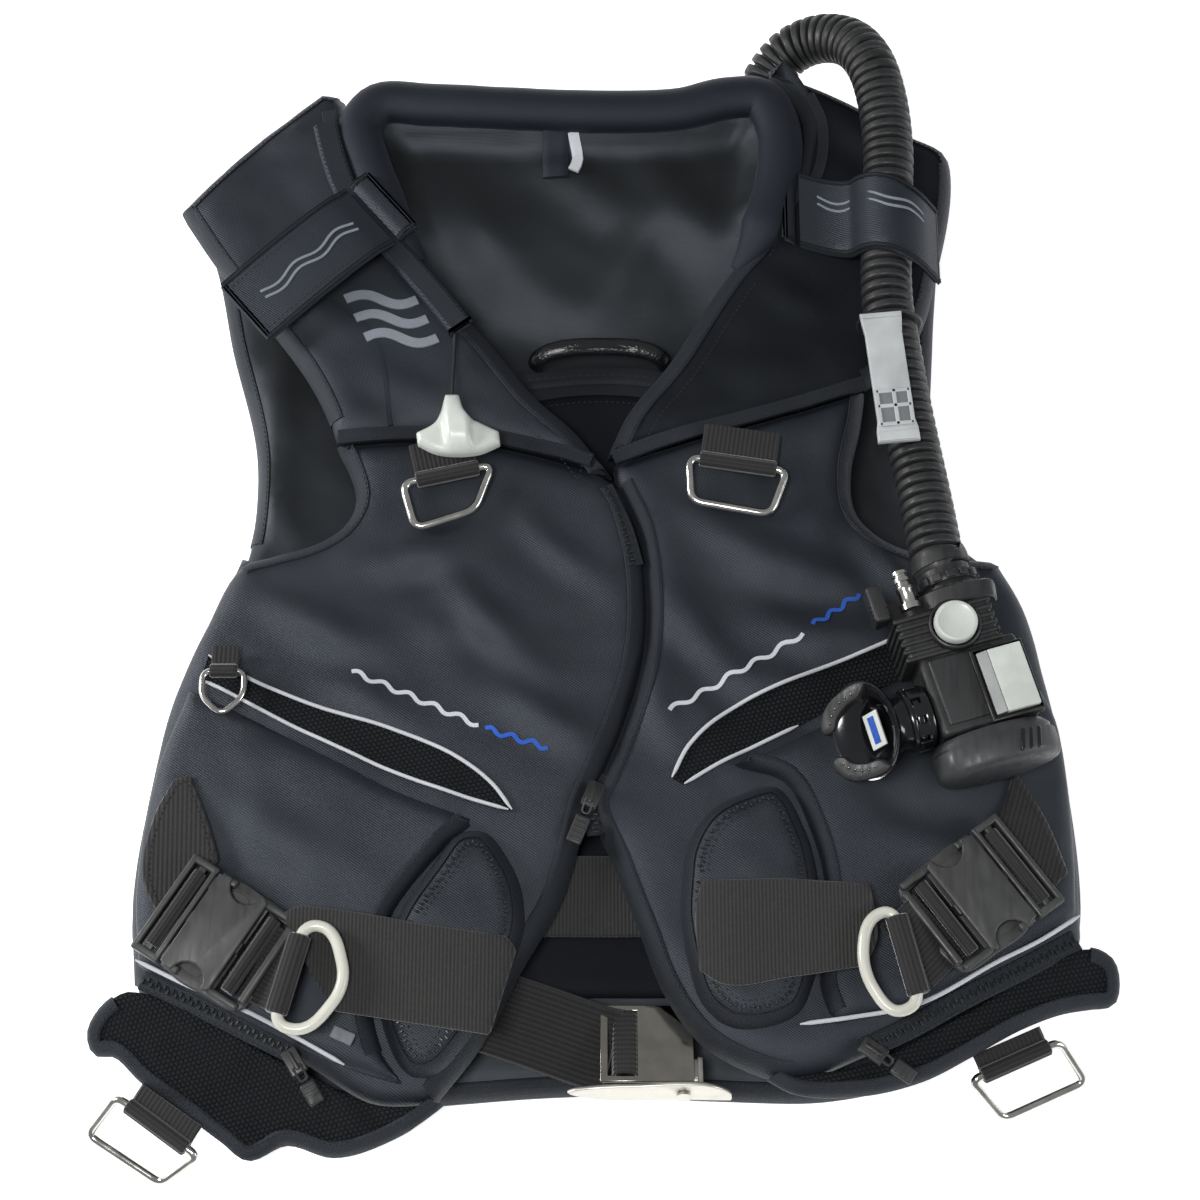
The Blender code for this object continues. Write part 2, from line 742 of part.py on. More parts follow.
def dump_knob():
    outline = [
        (-92, 122), (-84, 122), (-80, 111), (-60, 101), (-60, 91), (-72, 86), (-94, 86),
        (-108, 92), (-109, 101), (-96, 109),
    ]
    bm = sheet_between(outline, level(KNOB_HEIGHTS[0]), level(KNOB_HEIGHTS[1]), WHOLE)
    from_bmesh("dump_knob", bm, "pale", origin=(-88.0, 122.0, 76.5))


def zip_slider(name, centre, heading, pull_length, pull_drop, origin=None):
    """A slider with its rubber pull trailing along the heading."""
    frame = turn(heading, centre)
    slider = from_bmesh(
        name, box_mesh((17.0, 10.0, 4.5), (0, 0, 0), 0.8), "plastic",
        origin=origin if origin is not None else centre, placed=frame,
    )
    pull = box_mesh((pull_length, 9.0, 3.2), (6.0 + pull_length / 2, 0, -pull_drop))
    combine(slider, from_bmesh(f"{name}_pull", pull, "plastic", placed=frame), "UNION")


def zip_sliders():
    zip_slider(
        "main_zip_slider", (-4.0, -119.0, 61.2), math.radians(-112), 24.0, 0.4,
        origin=(*ZIP_CENTRE, 61.2),
    )
    zip_slider("pocket_zip_slider_l", (-168.0, -270.0, 58.4), math.radians(-58), 20.0, 0.4)
    zip_slider("pocket_zip_slider_r", (150.0, -264.0, 59.2), math.radians(-35), 20.0, 0.4)


WHISTLE_AT = (170.0, 124.0, 99.6)
WHISTLE_TURN = math.radians(5.5)
TIE_AT = (173.9, 169.5, 76.4)


def whistle():
    frame = turn(WHISTLE_TURN, WHISTLE_AT)
    body = from_bmesh("whistle", box_mesh((25.0, 84.0, 5.6), (0, 0, 0), 1.5), "grey", placed=frame)
    slot = box_mesh((4.0, 16.0, 9.0), (0, -24.0, 2.5))
    combine(body, from_bmesh("whistle_slot", slot, "grey", placed=frame), "DIFFERENCE")


def whistle_tie():
    radius = HOSE_RADIUS + 2.8
    path = []
    for step in range(24):
        angle = 2 * math.pi * step / 24
        path.append(
            (TIE_AT[0] + radius * math.cos(angle), TIE_AT[1], TIE_AT[2] + radius * math.sin(angle))
        )
    tube("whistle_tie", "rubber", path, 1.3, closed=True)


# --- hose and inflator ----------------------------------------------------------------------------


def hose_elbow():
    from_bmesh("hose_elbow", drum_mesh(16.0, 14.0, (103.0, 341.0, 20.0), "Y"), "rubber")


def inflator_hose():
    tube("inflator_hose", "rubber", smooth_route(HOSE_ROUTE, 3), HOSE_RADIUS, resolution=2)


BODY_TOP = 106.0
BODY_LOW = 68.0
BUTTON_AT = (4.0, 1.0)
BUTTON_RADIUS = 12.4
DEFLATE_AT = (22.0, -38.0)
DEFLATE_SIZE = (26.0, 38.0)


def inflator_body():
    middle = (BODY_TOP + BODY_LOW) / 2
    thick = BODY_TOP - BODY_LOW
    upper = box_mesh((57.0, 27.0, thick), (0, 0, middle), 3.0)
    body = from_bmesh("inflator_body", upper, "rubber", placed=INFLATOR)
    parts = {
        "lower": box_mesh((59.0, 50.0, thick - 1.0), (7.0, -35.0, middle), 3.0),
        "neck": drum_mesh(17.0, 32.0, (12.0, 23.0, 88.0), "Y"),
        "boss": drum_mesh(15.0, 8.0, (*BUTTON_AT, BODY_TOP - 0.5), sides=24),
        "bezel": box_mesh((31.0, 43.0, 8.0), (DEFLATE_AT[0] - 0.5, DEFLATE_AT[1], BODY_TOP - 2.0)),
        "port": drum_mesh(18.6, 16.0, (-29.0, -41.0, 88.0), "X"),
    }
    for name, bm in parts.items():
        combine(body, from_bmesh(name, bm, "rubber", placed=INFLATOR), "UNION")
    wells = {
        "button_well": drum_mesh(BUTTON_RADIUS + 0.5, 12.0, (*BUTTON_AT, BODY_TOP + 1.5), sides=24),
        "deflate_well": box_mesh(
            (DEFLATE_SIZE[0] + 1.0, DEFLATE_SIZE[1] + 1.0, 10.0), (*DEFLATE_AT, BODY_TOP + 1.0)
        ),
    }
    for name, bm in wells.items():
        combine(body, from_bmesh(name, bm, "rubber", placed=INFLATOR), "DIFFERENCE")


def inflator_buttons():
    button = drum_mesh(BUTTON_RADIUS, 10.0, (*BUTTON_AT, BODY_TOP + 4.0), sides=24)
    from_bmesh(
        "inflate_button", button, "pale",
        origin=inflator_point(*BUTTON_AT, BODY_TOP + 4.0), placed=INFLATOR,
    )
    plate = box_mesh((*DEFLATE_SIZE, 6.0), (*DEFLATE_AT, BODY_TOP + 2.7), 1.0)
    from_bmesh(
        "deflate_button", plate, "pale",
        origin=inflator_point(*DEFLATE_AT, BODY_TOP + 2.7), placed=INFLATOR,
    )


def inflator_fittings():
    nipple = drum_mesh(5.0, 24.0, (-15.0, 26.0, 98.0), "Y", 16)
    from_bmesh("inflator_nipple", nipple, "steel", placed=INFLATOR)
    cap = box_mesh((9.0, 22.0, 16.0), (-33.0, 26.0, 97.0), 1.5)
    from_bmesh("nipple_cap", cap, "rubber", placed=INFLATOR)
    cover = drum_mesh(36.5, 23.0, (6.0, -72.0, 0.0), "Y", 28)
    cover.transform(Matrix.Translation((0, 0, 88.5)) @ Matrix.Diagonal((1, 1, 0.62, 1)))
    from_bmesh("diaphragm_cover", cover, "rubber", placed=INFLATOR)


def mouthpiece():
    frame = INFLATOR @ Matrix.Translation((-38.0, -42.0, 88.0))
    tube_mesh = drum_mesh(20.5, 57.0, (-28.5, 0, 0), "X", 20)
    body = from_bmesh("mouthpiece", tube_mesh, "rubber", placed=frame)
    hollow = drum_mesh(16.5, 60.0, (-38.0, 0, 0), "X", 20)
    combine(body, from_bmesh("mouth_hollow", hollow, "rubber", placed=frame), "DIFFERENCE")


# --- tank band and its cam buckle -----------------------------------------------------------------

CAM_FRAME = Matrix.Translation((26.0, -258.0, 41.0)) @ Matrix.Rotation(math.radians(-20), 4, "X")
CAM_PIN_X = 24.0
CAM_PIN_Z = -3.6


def tank_band():
    outline = [(-96, -262), (-60, -258), (-4, -278), (-4, -242), (-40, -208), (-76, -204)]
    slab("tank_band", "webbing", outline, level(32.0), level(35.0), WHOLE)


def cam_buckle():
    sheet = box_mesh((52.0, 48.0, 2.0), (0, 0, 2.0), 0.6)
    plate = from_bmesh("cam_buckle_plate", sheet, "steel", placed=CAM_FRAME)
    for index, x in enumerate((-19.0, -8.0)):
        slot = box_mesh((5.5, 41.0, 8.0), (x, 0, 2.0))
        combine(plate, from_bmesh(f"slot_{index}", slot, "steel", placed=CAM_FRAME), "DIFFERENCE")
    for index, y in enumerate((-22.0, 22.0)):
        ear = box_mesh((12.0, 2.0, 10.0), (CAM_PIN_X - 4.0, y, -2.7))
        combine(plate, from_bmesh(f"ear_{index}", ear, "steel", placed=CAM_FRAME), "UNION")
    for index, y in enumerate((-22.0, 22.0)):
        hole = drum_mesh(2.6, 6.0, (CAM_PIN_X - 4.0, y, CAM_PIN_Z), "Y", 12)
        combine(plate, from_bmesh(f"ear_hole_{index}", hole, "steel", placed=CAM_FRAME), "DIFFERENCE")
    pin = drum_mesh(2.2, 58.0, (CAM_PIN_X - 4.0, 0, CAM_PIN_Z), "Y", 12)
    from_bmesh("cam_pin", pin, "satin_steel", placed=CAM_FRAME)


LEAF = [
    (-64, 0.5), (-60, 3.0), (-20, 8.0), (8, 9.5), (18, 6.5), (26, -1.0), (27, -8.0), (8, -7.5),
    (-62, -2.0),
]


def cam_lever():
    """A cam barrel on the pin, with a leaf-shaped side plate outside the frame's near ear."""
    pin_at = (CAM_PIN_X - 4.0, 0.0, CAM_PIN_Z)
    origin = tuple(CAM_FRAME @ Vector(pin_at))
    barrel = drum_mesh(4.2, 41.0, pin_at, "Y", 16)
    lever = from_bmesh("cam_lever", barrel, "satin_steel", origin=origin, placed=CAM_FRAME)
    leaf = sheet_between(LEAF, level(25.8), level(28.2), WHOLE)
    leaf.transform(Matrix.Translation(pin_at) @ Matrix.Rotation(math.radians(90), 4, "X"))
    web = box_mesh((3.0, 20.4, 7.0), (pin_at[0] + 9.5, -17.4, CAM_PIN_Z))
    link = box_mesh((10.0, 12.0, 4.0), (pin_at[0] + 5.5, -13.0, CAM_PIN_Z - 1.0))
    for name, bm in (("leaf", leaf), ("lever_web", web), ("lever_link", link)):
        combine(lever, from_bmesh(name, bm, "satin_steel", placed=CAM_FRAME), "UNION")
    hole = drum_mesh(2.5, 70.0, pin_at, "Y", 12)
    combine(lever, from_bmesh("lever_bore", hole, "satin_steel", placed=CAM_FRAME), "DIFFERENCE")


def build():
    back_bladder()
    backpack_plate()
    dump_valve()
    back_pad()
    carry_handle()
    cummerbund()
    collar_roll()
    front_panels()
    pockets()
    skirts()
    pouch_straps()
    for side in BUCKLES:
        buckle_socket(side)
        buckle_plug(side)
    handle_rings()
    steel_rings()
    pocket_ring()
    shoulder_flaps()
    dump_sleeve()
    dump_cord()
    dump_knob()
    zip_sliders()
    whistle()
    whistle_tie()
    hose_elbow()
    inflator_hose()
    inflator_body()
    inflator_buttons()
    inflator_fittings()
    mouthpiece()
    tank_band()
    cam_buckle()
    cam_lever()


build()
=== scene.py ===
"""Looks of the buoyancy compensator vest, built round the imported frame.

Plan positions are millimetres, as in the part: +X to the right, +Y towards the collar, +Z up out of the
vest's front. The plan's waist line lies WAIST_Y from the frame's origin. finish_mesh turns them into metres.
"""

import math

import bmesh
import bpy
import numpy as np
from mathutils import Matrix, Vector, geometry, noise


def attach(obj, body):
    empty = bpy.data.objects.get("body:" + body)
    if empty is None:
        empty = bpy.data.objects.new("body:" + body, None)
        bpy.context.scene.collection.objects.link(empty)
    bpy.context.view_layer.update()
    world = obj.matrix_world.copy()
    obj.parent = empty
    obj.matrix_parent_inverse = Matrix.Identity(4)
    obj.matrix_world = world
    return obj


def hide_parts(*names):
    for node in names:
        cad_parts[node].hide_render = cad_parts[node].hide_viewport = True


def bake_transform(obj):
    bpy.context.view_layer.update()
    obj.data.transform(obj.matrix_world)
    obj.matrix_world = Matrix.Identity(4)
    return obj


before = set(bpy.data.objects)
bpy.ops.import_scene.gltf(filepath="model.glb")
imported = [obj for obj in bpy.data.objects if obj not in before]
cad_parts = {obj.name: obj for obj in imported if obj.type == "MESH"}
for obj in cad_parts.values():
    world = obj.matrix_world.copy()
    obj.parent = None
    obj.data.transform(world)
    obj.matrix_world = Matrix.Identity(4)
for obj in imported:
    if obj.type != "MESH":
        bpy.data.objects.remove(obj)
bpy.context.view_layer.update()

MM = 0.001
WAIST_Y = -15.9
SCENE = bpy.context.scene

# Heights of the layers, as in the part.
BACK_TOP = 22.0
COLLAR_BACK_TOP = 41.0
LOBE_LOW = 42.0
LOBE_TOP = 58.0
SIDE_DROP = 9.0
HEM_DROP = 6.0
HOSE_RADIUS = 15.5


# --- camera, lights and floor ---------------------------------------------------------------------


def camera():
    data = bpy.data.cameras.new("camera")
    data.lens = 75.63
    data.sensor_width = 36.0
    obj = bpy.data.objects.new("camera", data)
    obj.location = (0.0, -0.5209, 1.4445)
    obj.rotation_euler = (math.radians(20.0), 0.0, 0.0)
    SCENE.collection.objects.link(obj)
    SCENE.camera = obj


def area_light(name, location, aim, size, power, colour=(1.0, 1.0, 1.0)):
    data = bpy.data.lights.new(name, "AREA")
    data.shape = "RECTANGLE"
    data.size, data.size_y = size
    data.energy = power
    data.color = colour
    obj = bpy.data.objects.new(name, data)
    obj.location = location
    toward = Vector(aim) - Vector(location)
    obj.rotation_euler = toward.to_track_quat("-Z", "Y").to_euler()
    SCENE.collection.objects.link(obj)


def studio():
    SCENE.view_settings.view_transform = "Standard"
    area_light("key_light", (-0.35, -0.55, 1.75), (0.0, -0.05, 0.0), (0.55, 0.4), 19.0)
    area_light("side_light", (-1.7, 0.35, 0.75), (0.0, 0.0, 0.0), (0.5, 0.5), 24.0)
    area_light("fill_light", (1.5, -0.4, 0.9), (0.0, 0.0, 0.0), (0.6, 0.6), 8.0, (0.94, 0.97, 1.0))
    world = bpy.data.worlds.new("studio_world")
    world.use_nodes = True
    background = world.node_tree.nodes["Background"]
    background.inputs["Color"].default_value = (0.95, 0.97, 1.0, 1.0)
    background.inputs["Strength"].default_value = 0.28
    SCENE.world = world
    data = bpy.data.meshes.new("floor")
    reach = 6.0
    corners = [(-reach, -reach, 0), (reach, -reach, 0), (reach, reach, 0), (-reach, reach, 0)]
    data.from_pydata(corners, [], [(0, 1, 2, 3)])
    floor = bpy.data.objects.new("floor", data)
    floor.location.z = -0.0006
    SCENE.collection.objects.link(floor)
    paint = bpy.data.materials.new("floor_paint")
    paint.use_nodes = True
    shader = paint.node_tree.nodes["Principled BSDF"]
    shader.inputs["Base Color"].default_value = (0.93, 0.93, 0.935, 1.0)
    shader.inputs["Roughness"].default_value = 0.7
    shader.inputs["Emission Color"].default_value = (1.0, 1.0, 1.0, 1.0)
    shader.inputs["Emission Strength"].default_value = 0.7
    data.materials.append(paint)


# --- materials ------------------------------------------------------------------------------------


# A wave texture of scale 1 repeats every this many metres.
WAVE_SCALE = 0.31416


class Shader:
    """A Principled material being wired up."""

    def __init__(self, name, colour, roughness, metallic=0.0, **sockets):
        self.material = bpy.data.materials.new(name)
        self.material.use_nodes = True
        self.tree = self.material.node_tree
        self.shader = self.tree.nodes["Principled BSDF"]
        self.colour = (*colour, 1.0)
        self.shader.inputs["Base Color"].default_value = self.colour
        self.shader.inputs["Roughness"].default_value = roughness
        self.shader.inputs["Metallic"].default_value = metallic
        for socket, value in sockets.items():
            self.shader.inputs[socket.replace("_", " ")].default_value = value
        self.height = None

    def node(self, kind, **values):
        made = self.tree.nodes.new(kind)
        for key, value in values.items():
            if key in made.inputs:
                made.inputs[key].default_value = value
            else:
                setattr(made, key.lower(), value)
        return made

    def link(self, output, target):
        self.tree.links.new(output, target)

    def math(self, operation, first, second):
        made = self.node("ShaderNodeMath", operation=operation)
        for index, value in enumerate((first, second)):
            if isinstance(value, (int, float)):
                made.inputs[index].default_value = value
            else:
                self.link(value, made.inputs[index])
        return made.outputs[0]

    def place(self, uv=False, turn=0.0, scale=(1.0, 1.0, 1.0)):
        """Coordinates in metres: over the object, or along and across a band."""
        if uv:
            source = self.node("ShaderNodeUVMap", uv_map="band").outputs["UV"]
        else:
            source = self.node("ShaderNodeTexCoord").outputs["Object"]
        mapping = self.node("ShaderNodeMapping")
        mapping.inputs["Rotation"].default_value = (0.0, 0.0, turn)
        mapping.inputs["Scale"].default_value = scale
        self.link(source, mapping.inputs["Vector"])
        return mapping.outputs["Vector"]

    def wave(self, place, pitch, direction="X"):
        """Bands that repeat every pitch metres, from 0 to 1."""
        made = self.node("ShaderNodeTexWave", Scale=WAVE_SCALE / pitch, Distortion=0.0)
        made.bands_direction = direction
        self.link(place, made.inputs["Vector"])
        return made.outputs["Fac"]

    def noise(self, place, size, detail=3.0):
        made = self.node("ShaderNodeTexNoise", Scale=1.0 / size, Detail=detail)
        self.link(place, made.inputs["Vector"])
        return made.outputs["Fac"]

    def ramp(self, value, low, high, start, stop):
        """value in start..stop becomes low..high."""
        made = self.node("ShaderNodeMapRange")
        for socket, number in (("From Min", start), ("From Max", stop), ("To Min", low), ("To Max", high)):
            made.inputs[socket].default_value = number
        self.link(value, made.inputs["Value"])
        return made.outputs["Result"]

    def tint(self, value, dark, light, start=0.3, stop=0.7):
        """The base colour runs from dark to light as value goes from start to stop."""
        made = self.node("ShaderNodeMix", data_type="RGBA")
        for socket in made.inputs:
            if socket.name == "A" and socket.type == "RGBA":
                socket.default_value = (*dark, 1.0)
            if socket.name == "B" and socket.type == "RGBA":
                socket.default_value = (*light, 1.0)
        self.link(self.ramp(value, 0.0, 1.0, start, stop), made.inputs["Factor"])
        result = [o for o in made.outputs if o.type == "RGBA"][0]
        self.link(result, self.shader.inputs["Base Color"])

    def rough(self, value, low, high, start=0.3, stop=0.7):
        self.link(self.ramp(value, low, high, start, stop), self.shader.inputs["Roughness"])

    def bump(self, value, depth, strength=1.0):
        """Adds a relief, depth in metres, on top of the ones already there."""
        made = self.node("ShaderNodeBump", Strength=strength, Distance=depth)
        self.link(value, made.inputs["Height"])
        if self.height is not None:
            self.link(self.height, made.inputs["Normal"])
        self.height = made.outputs["Normal"]
        self.link(self.height, self.shader.inputs["Normal"])


def scaled(colour, factor):
    return tuple(channel * factor for channel in colour)


def woven(name, colour, thread, turn, depth, roughness, sheen, lightness=1.6, wear=1.35, gloss=0.3):
    """Cloth: two sets of threads, faded patches and lint."""
    made = Shader(name, colour, roughness, Sheen_Weight=sheen, Sheen_Roughness=0.45)
    made.shader.inputs["Sheen Tint"].default_value = (0.72, 0.78, 0.95, 1.0)
    made.shader.inputs["Specular IOR Level"].default_value = gloss
    made.shader.inputs["Specular Tint"].default_value = (0.80, 0.89, 1.0, 1.0)
    place = made.place(turn=turn)
    warp = made.wave(place, thread, "X")
    weft = made.wave(place, thread * 1.15, "Y")
    weave = made.math("MULTIPLY", warp, weft)
    fade = made.noise(made.place(), 0.055, 2.0)
    lint = made.noise(made.place(), 0.0016, 4.0)
    mottled = made.math("ADD", made.math("MULTIPLY", fade, 0.6), made.math("MULTIPLY", lint, 0.4))
    made.tint(made.math("ADD", mottled, made.math("MULTIPLY", weave, 0.25)), scaled(colour, 1 / wear),
              scaled(colour, lightness), 0.42, 0.86)
    made.bump(weave, depth)
    made.bump(made.noise(made.place(), 0.004, 3.0), depth * 1.5, 0.5)
    return made.material


def ribbed_band(name, colour, pitch, along, depth):
    """Webbing: cords along the band, and the weft that crosses them."""
    made = Shader(name, colour, 0.8, Sheen_Weight=0.35, Sheen_Roughness=0.4)
    place = made.place(uv=True)
    cords = made.wave(place, pitch, "Y" if along else "X")
    weft = made.wave(place, pitch * 0.55, "X" if along else "Y")
    weave = made.math("ADD", made.math("MULTIPLY", cords, 0.75), made.math("MULTIPLY", weft, 0.25))
    lint = made.noise(made.place(), 0.002, 4.0)
    made.tint(made.math("ADD", made.math("MULTIPLY", weave, 0.6), made.math("MULTIPLY", lint, 0.4)),
              scaled(colour, 0.45), scaled(colour, 2.1), 0.25, 0.85)
    made.bump(weave, depth)
    return made.material


def honeycomb(name, colour):
    """Air mesh: three sets of lines 60 degrees apart leave even rows of open cells between them."""
    made = Shader(name, colour, 0.75)
    made.shader.inputs["Specular IOR Level"].default_value = 0.2
    lines = [made.wave(made.place(turn=math.radians(18 + 60 * k)), 0.0024) for k in range(3)]
    total = made.math("ADD", made.math("ADD", lines[0], lines[1]), lines[2])
    made.tint(total, scaled(colour, 1.9), scaled(colour, 0.10), 1.2, 2.1)
    made.bump(made.ramp(total, 1.0, 0.0, 1.1, 2.2), 0.0008)
    return made.material


def moulded(name, colour, roughness, grain, depth, coat=0.0, wear=1.35):
    """Plastic or rubber: a fine moulded grain, faint scuffs and uneven gloss."""
    made = Shader(name, colour, roughness, Coat_Weight=coat, Coat_Roughness=0.2)
    fine = made.noise(made.place(), grain, 2.0)
    patches = made.noise(made.place(), 0.02, 4.0)
    scuffs = made.noise(made.place(scale=(1.0, 0.12, 1.0), turn=0.6), 0.0035, 5.0)
    made.tint(patches, scaled(colour, 0.85), scaled(colour, wear), 0.35, 0.75)
    made.rough(scuffs, roughness * 0.75, min(1.0, roughness * 1.3), 0.35, 0.65)
    made.bump(fine, depth)
    return made.material


def metal(name, colour, roughness, brush):
    made = Shader(name, colour, roughness, 1.0)
    lines = made.noise(made.place(scale=(1.0, brush, 1.0)), 0.0009, 4.0)
    smears = made.noise(made.place(), 0.012, 4.0)
    made.rough(smears, roughness * 0.7, roughness * 1.6, 0.3, 0.7)
    made.tint(smears, scaled(colour, 0.82), colour, 0.3, 0.6)
    made.bump(lines, 0.000008)
    return made.material


def make_finishes():
    """Each finish: its material and the record's slot that it stands for."""
    black = (0.0044, 0.0052, 0.0080)
    # The nylon's colour halved: painted shade, for the right yoke.
    shaded = scaled(black, 0.5)
    made = {
        "nylon": woven("nylon_twill", black, 0.0011, 0.6, 0.00016, 0.52, 0.03, gloss=0.60),
        # deep: the darker copy of the nylon, painted shade for the right yoke.
        "deep": woven("painted_shade_nylon", shaded, 0.0011, 0.6, 0.00016, 0.6, 0.0, gloss=0.26),
        # pad: the neoprene at half its colour, painted shade for the lumbar pad inside the vest.
        "pad": woven("painted_shade_neoprene", (0.0020, 0.0024, 0.0038), 0.0007, 0.3, 0.0001, 0.7, 0.0, gloss=0.24),
        "binding": woven("grosgrain", (0.0056, 0.0062, 0.0080), 0.0009, 0.9, 0.00025, 0.6, 0.04, gloss=0.46),
        "liner": woven("coated_liner", (0.0068, 0.0073, 0.0074), 0.0006, 0.0, 0.00005, 0.46, 0.0, 1.35,
                       gloss=0.44),
        "neoprene": woven("neoprene_jersey", (0.0040, 0.0047, 0.0085), 0.0007, 0.3, 0.0001, 0.62, 0.08,
                          gloss=0.45),
        "elastic": ribbed_band("ribbed_elastic", (0.0130, 0.0128, 0.0120), 0.0021, False, 0.00035),
        "webbing": ribbed_band("coarse_webbing", (0.0085, 0.0085, 0.0085), 0.0030, True, 0.0006),
        "loop": ribbed_band("loop_webbing", (0.0085, 0.0084, 0.0080), 0.0026, True, 0.0004),
        "mesh": honeycomb("air_mesh", (0.0040, 0.0048, 0.0066)),
        "silver": woven("reflective_piping", (0.50, 0.51, 0.535), 0.0008, 0.8, 0.0001, 0.4, 0.0, 1.2, 1.1),
        "motif": woven("grey_embroidery", (0.20, 0.215, 0.24), 0.0009, 0.5, 0.0002, 0.6, 0.0, 1.25, 1.15),
        "thread": woven("sewing_thread", (0.024, 0.0245, 0.027), 0.0005, 0.8, 0.0001, 0.75, 0.1),
        "blue_thread": woven("blue_thread", (0.02, 0.085, 0.40), 0.0006, 0.8, 0.0001, 0.6, 0.1),
        "plastic": moulded("buckle_plastic", (0.034, 0.0342, 0.0335), 0.42, 0.0005, 0.00004),
        "black": moulded("black_plastic", (0.0095, 0.0095, 0.0102), 0.38, 0.0006, 0.00003),
        "gloss": moulded("gloss_black", (0.0050, 0.0052, 0.0062), 0.14, 0.003, 0.00003, 0.4),
        "rubber": moulded("rubber", (0.0135, 0.0138, 0.0145), 0.5, 0.0008, 0.00006),
        # A paler copy of the rubber, for the mouth cover.
        "paler": moulded("paler_rubber", (0.030, 0.0312, 0.0325), 0.5, 0.0008, 0.00006),
        "grained": moulded("grained_rubber", (0.0055, 0.0058, 0.0066), 0.22, 0.0016, 0.0006, 0.3),
        "pale": moulded("pale_plastic", (0.58, 0.605, 0.56), 0.34, 0.001, 0.00002, 0.15, 1.06),
        # A darker copy of the pale plastic: painted shade on the deflate key's sloping facet.
        "pale_painted_shade": moulded("pale_plastic_painted_shade", (0.30, 0.31, 0.305), 0.4, 0.001, 0.00002, 0.0, 1.06),
        "grey": moulded("grey_plastic", (0.46, 0.475, 0.475), 0.42, 0.0009, 0.00003, 0.0, 1.1),
        # shade: a darker grey, painted shade in the whistle's recess; the pouch's pull tab uses it too.
        "shade": moulded("grey_recess", (0.16, 0.17, 0.18), 0.5, 0.0009, 0.00003, 0.0, 1.1),
        "ivory": moulded("ivory_coat", (0.60, 0.59, 0.515), 0.32, 0.002, 0.00004, 0.3, 1.05),
        "steel": metal("polished_steel", (0.66, 0.65, 0.61), 0.16, 0.06),
        "mirror": metal("mirror_steel", (0.48, 0.45, 0.39), 0.12, 0.2),
        "satin": metal("satin_steel", (0.66, 0.64, 0.58), 0.36, 0.05),
    }
    slots = {
        "nylon": ("nylon", "deep", "binding", "silver", "motif", "thread", "blue_thread"),
        "neoprene": ("pad", "neoprene"),
        "liner": ("liner",),
        "webbing": ("elastic", "webbing", "loop"),
        "mesh": ("mesh",),
        "black_plastic": ("plastic", "black", "gloss"),
        "rubber": ("rubber", "paler", "grained"),
        "pale_plastic": ("pale", "pale_painted_shade"),
        "grey_plastic": ("grey", "shade"),
        "ivory_coat": ("ivory",),
        "steel": ("steel", "mirror"),
        "satin_steel": ("satin",),
    }
    return {finish: (made[finish], slot) for slot, finishes in slots.items() for finish in finishes}


FINISHES = make_finishes()


# --- pieces ---------------------------------------------------------------------------------------


def link_piece(name, data, finish, body="vest", replaces=()):
    made, slot = FINISHES[finish]
    obj = bpy.data.objects.new(name, data)
    SCENE.collection.objects.link(obj)
    data.materials.append(made)
    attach(obj, body)
    if replaces:
        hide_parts(*replaces)
    return obj


def finish_mesh(name, bm, finish, body="vest", replaces=(), placed=None, sharp=42.0):
    """A bmesh in plan millimetres, or in the frame that placed gives, becomes a piece."""
    if placed is not None:
        bm.transform(placed)
    bmesh.ops.recalc_face_normals(bm, faces=bm.faces)
    bm.transform(Matrix.Translation((0, WAIST_Y * MM, 0)) @ Matrix.Diagonal((MM, MM, MM, 1.0)))
    data = bpy.data.meshes.new(name)
    bm.to_mesh(data)
    bm.free()
    data.shade_smooth()
    data.set_sharp_from_angle(angle=math.radians(sharp))
    return link_piece(name, data, finish, body, replaces)


def joined(parts):
    """Several bmeshes as one."""
    whole = bmesh.new()
    for part in parts:
        data = bpy.data.meshes.new("joined")
        part.to_mesh(data)
        part.free()
        whole.from_mesh(data)
        bpy.data.meshes.remove(data)
    return whole


def box(size, centre, bevel=0.8, segments=3):
    bm = bmesh.new()
    bmesh.ops.create_cube(bm, size=1.0)
    bm.transform(Matrix.Translation(Vector(centre)) @ Matrix.Diagonal((*size, 1.0)))
    if bevel:
        bmesh.ops.bevel(bm, geom=bm.edges[:], offset=bevel, segments=segments, profile=0.6, affect="EDGES")
    return bm


def ring_of_blocks(size, centre, bevel, about, axis, count):
    """Copies of a box, spaced evenly round an axis through a point."""
    blocks = []
    for index in range(count):
        block = box(size, centre, bevel)
        turn = Matrix.Rotation(2 * math.pi * index / count, 4, axis)
        block.transform(Matrix.Translation(about) @ turn)
        blocks.append(block)
    return blocks


def rectangle(x, y, half_x, half_y):
    corners = ((-1, -1), (1, -1), (1, 1), (-1, 1))
    return [(x + i * half_x, y + j * half_y) for i, j in corners]


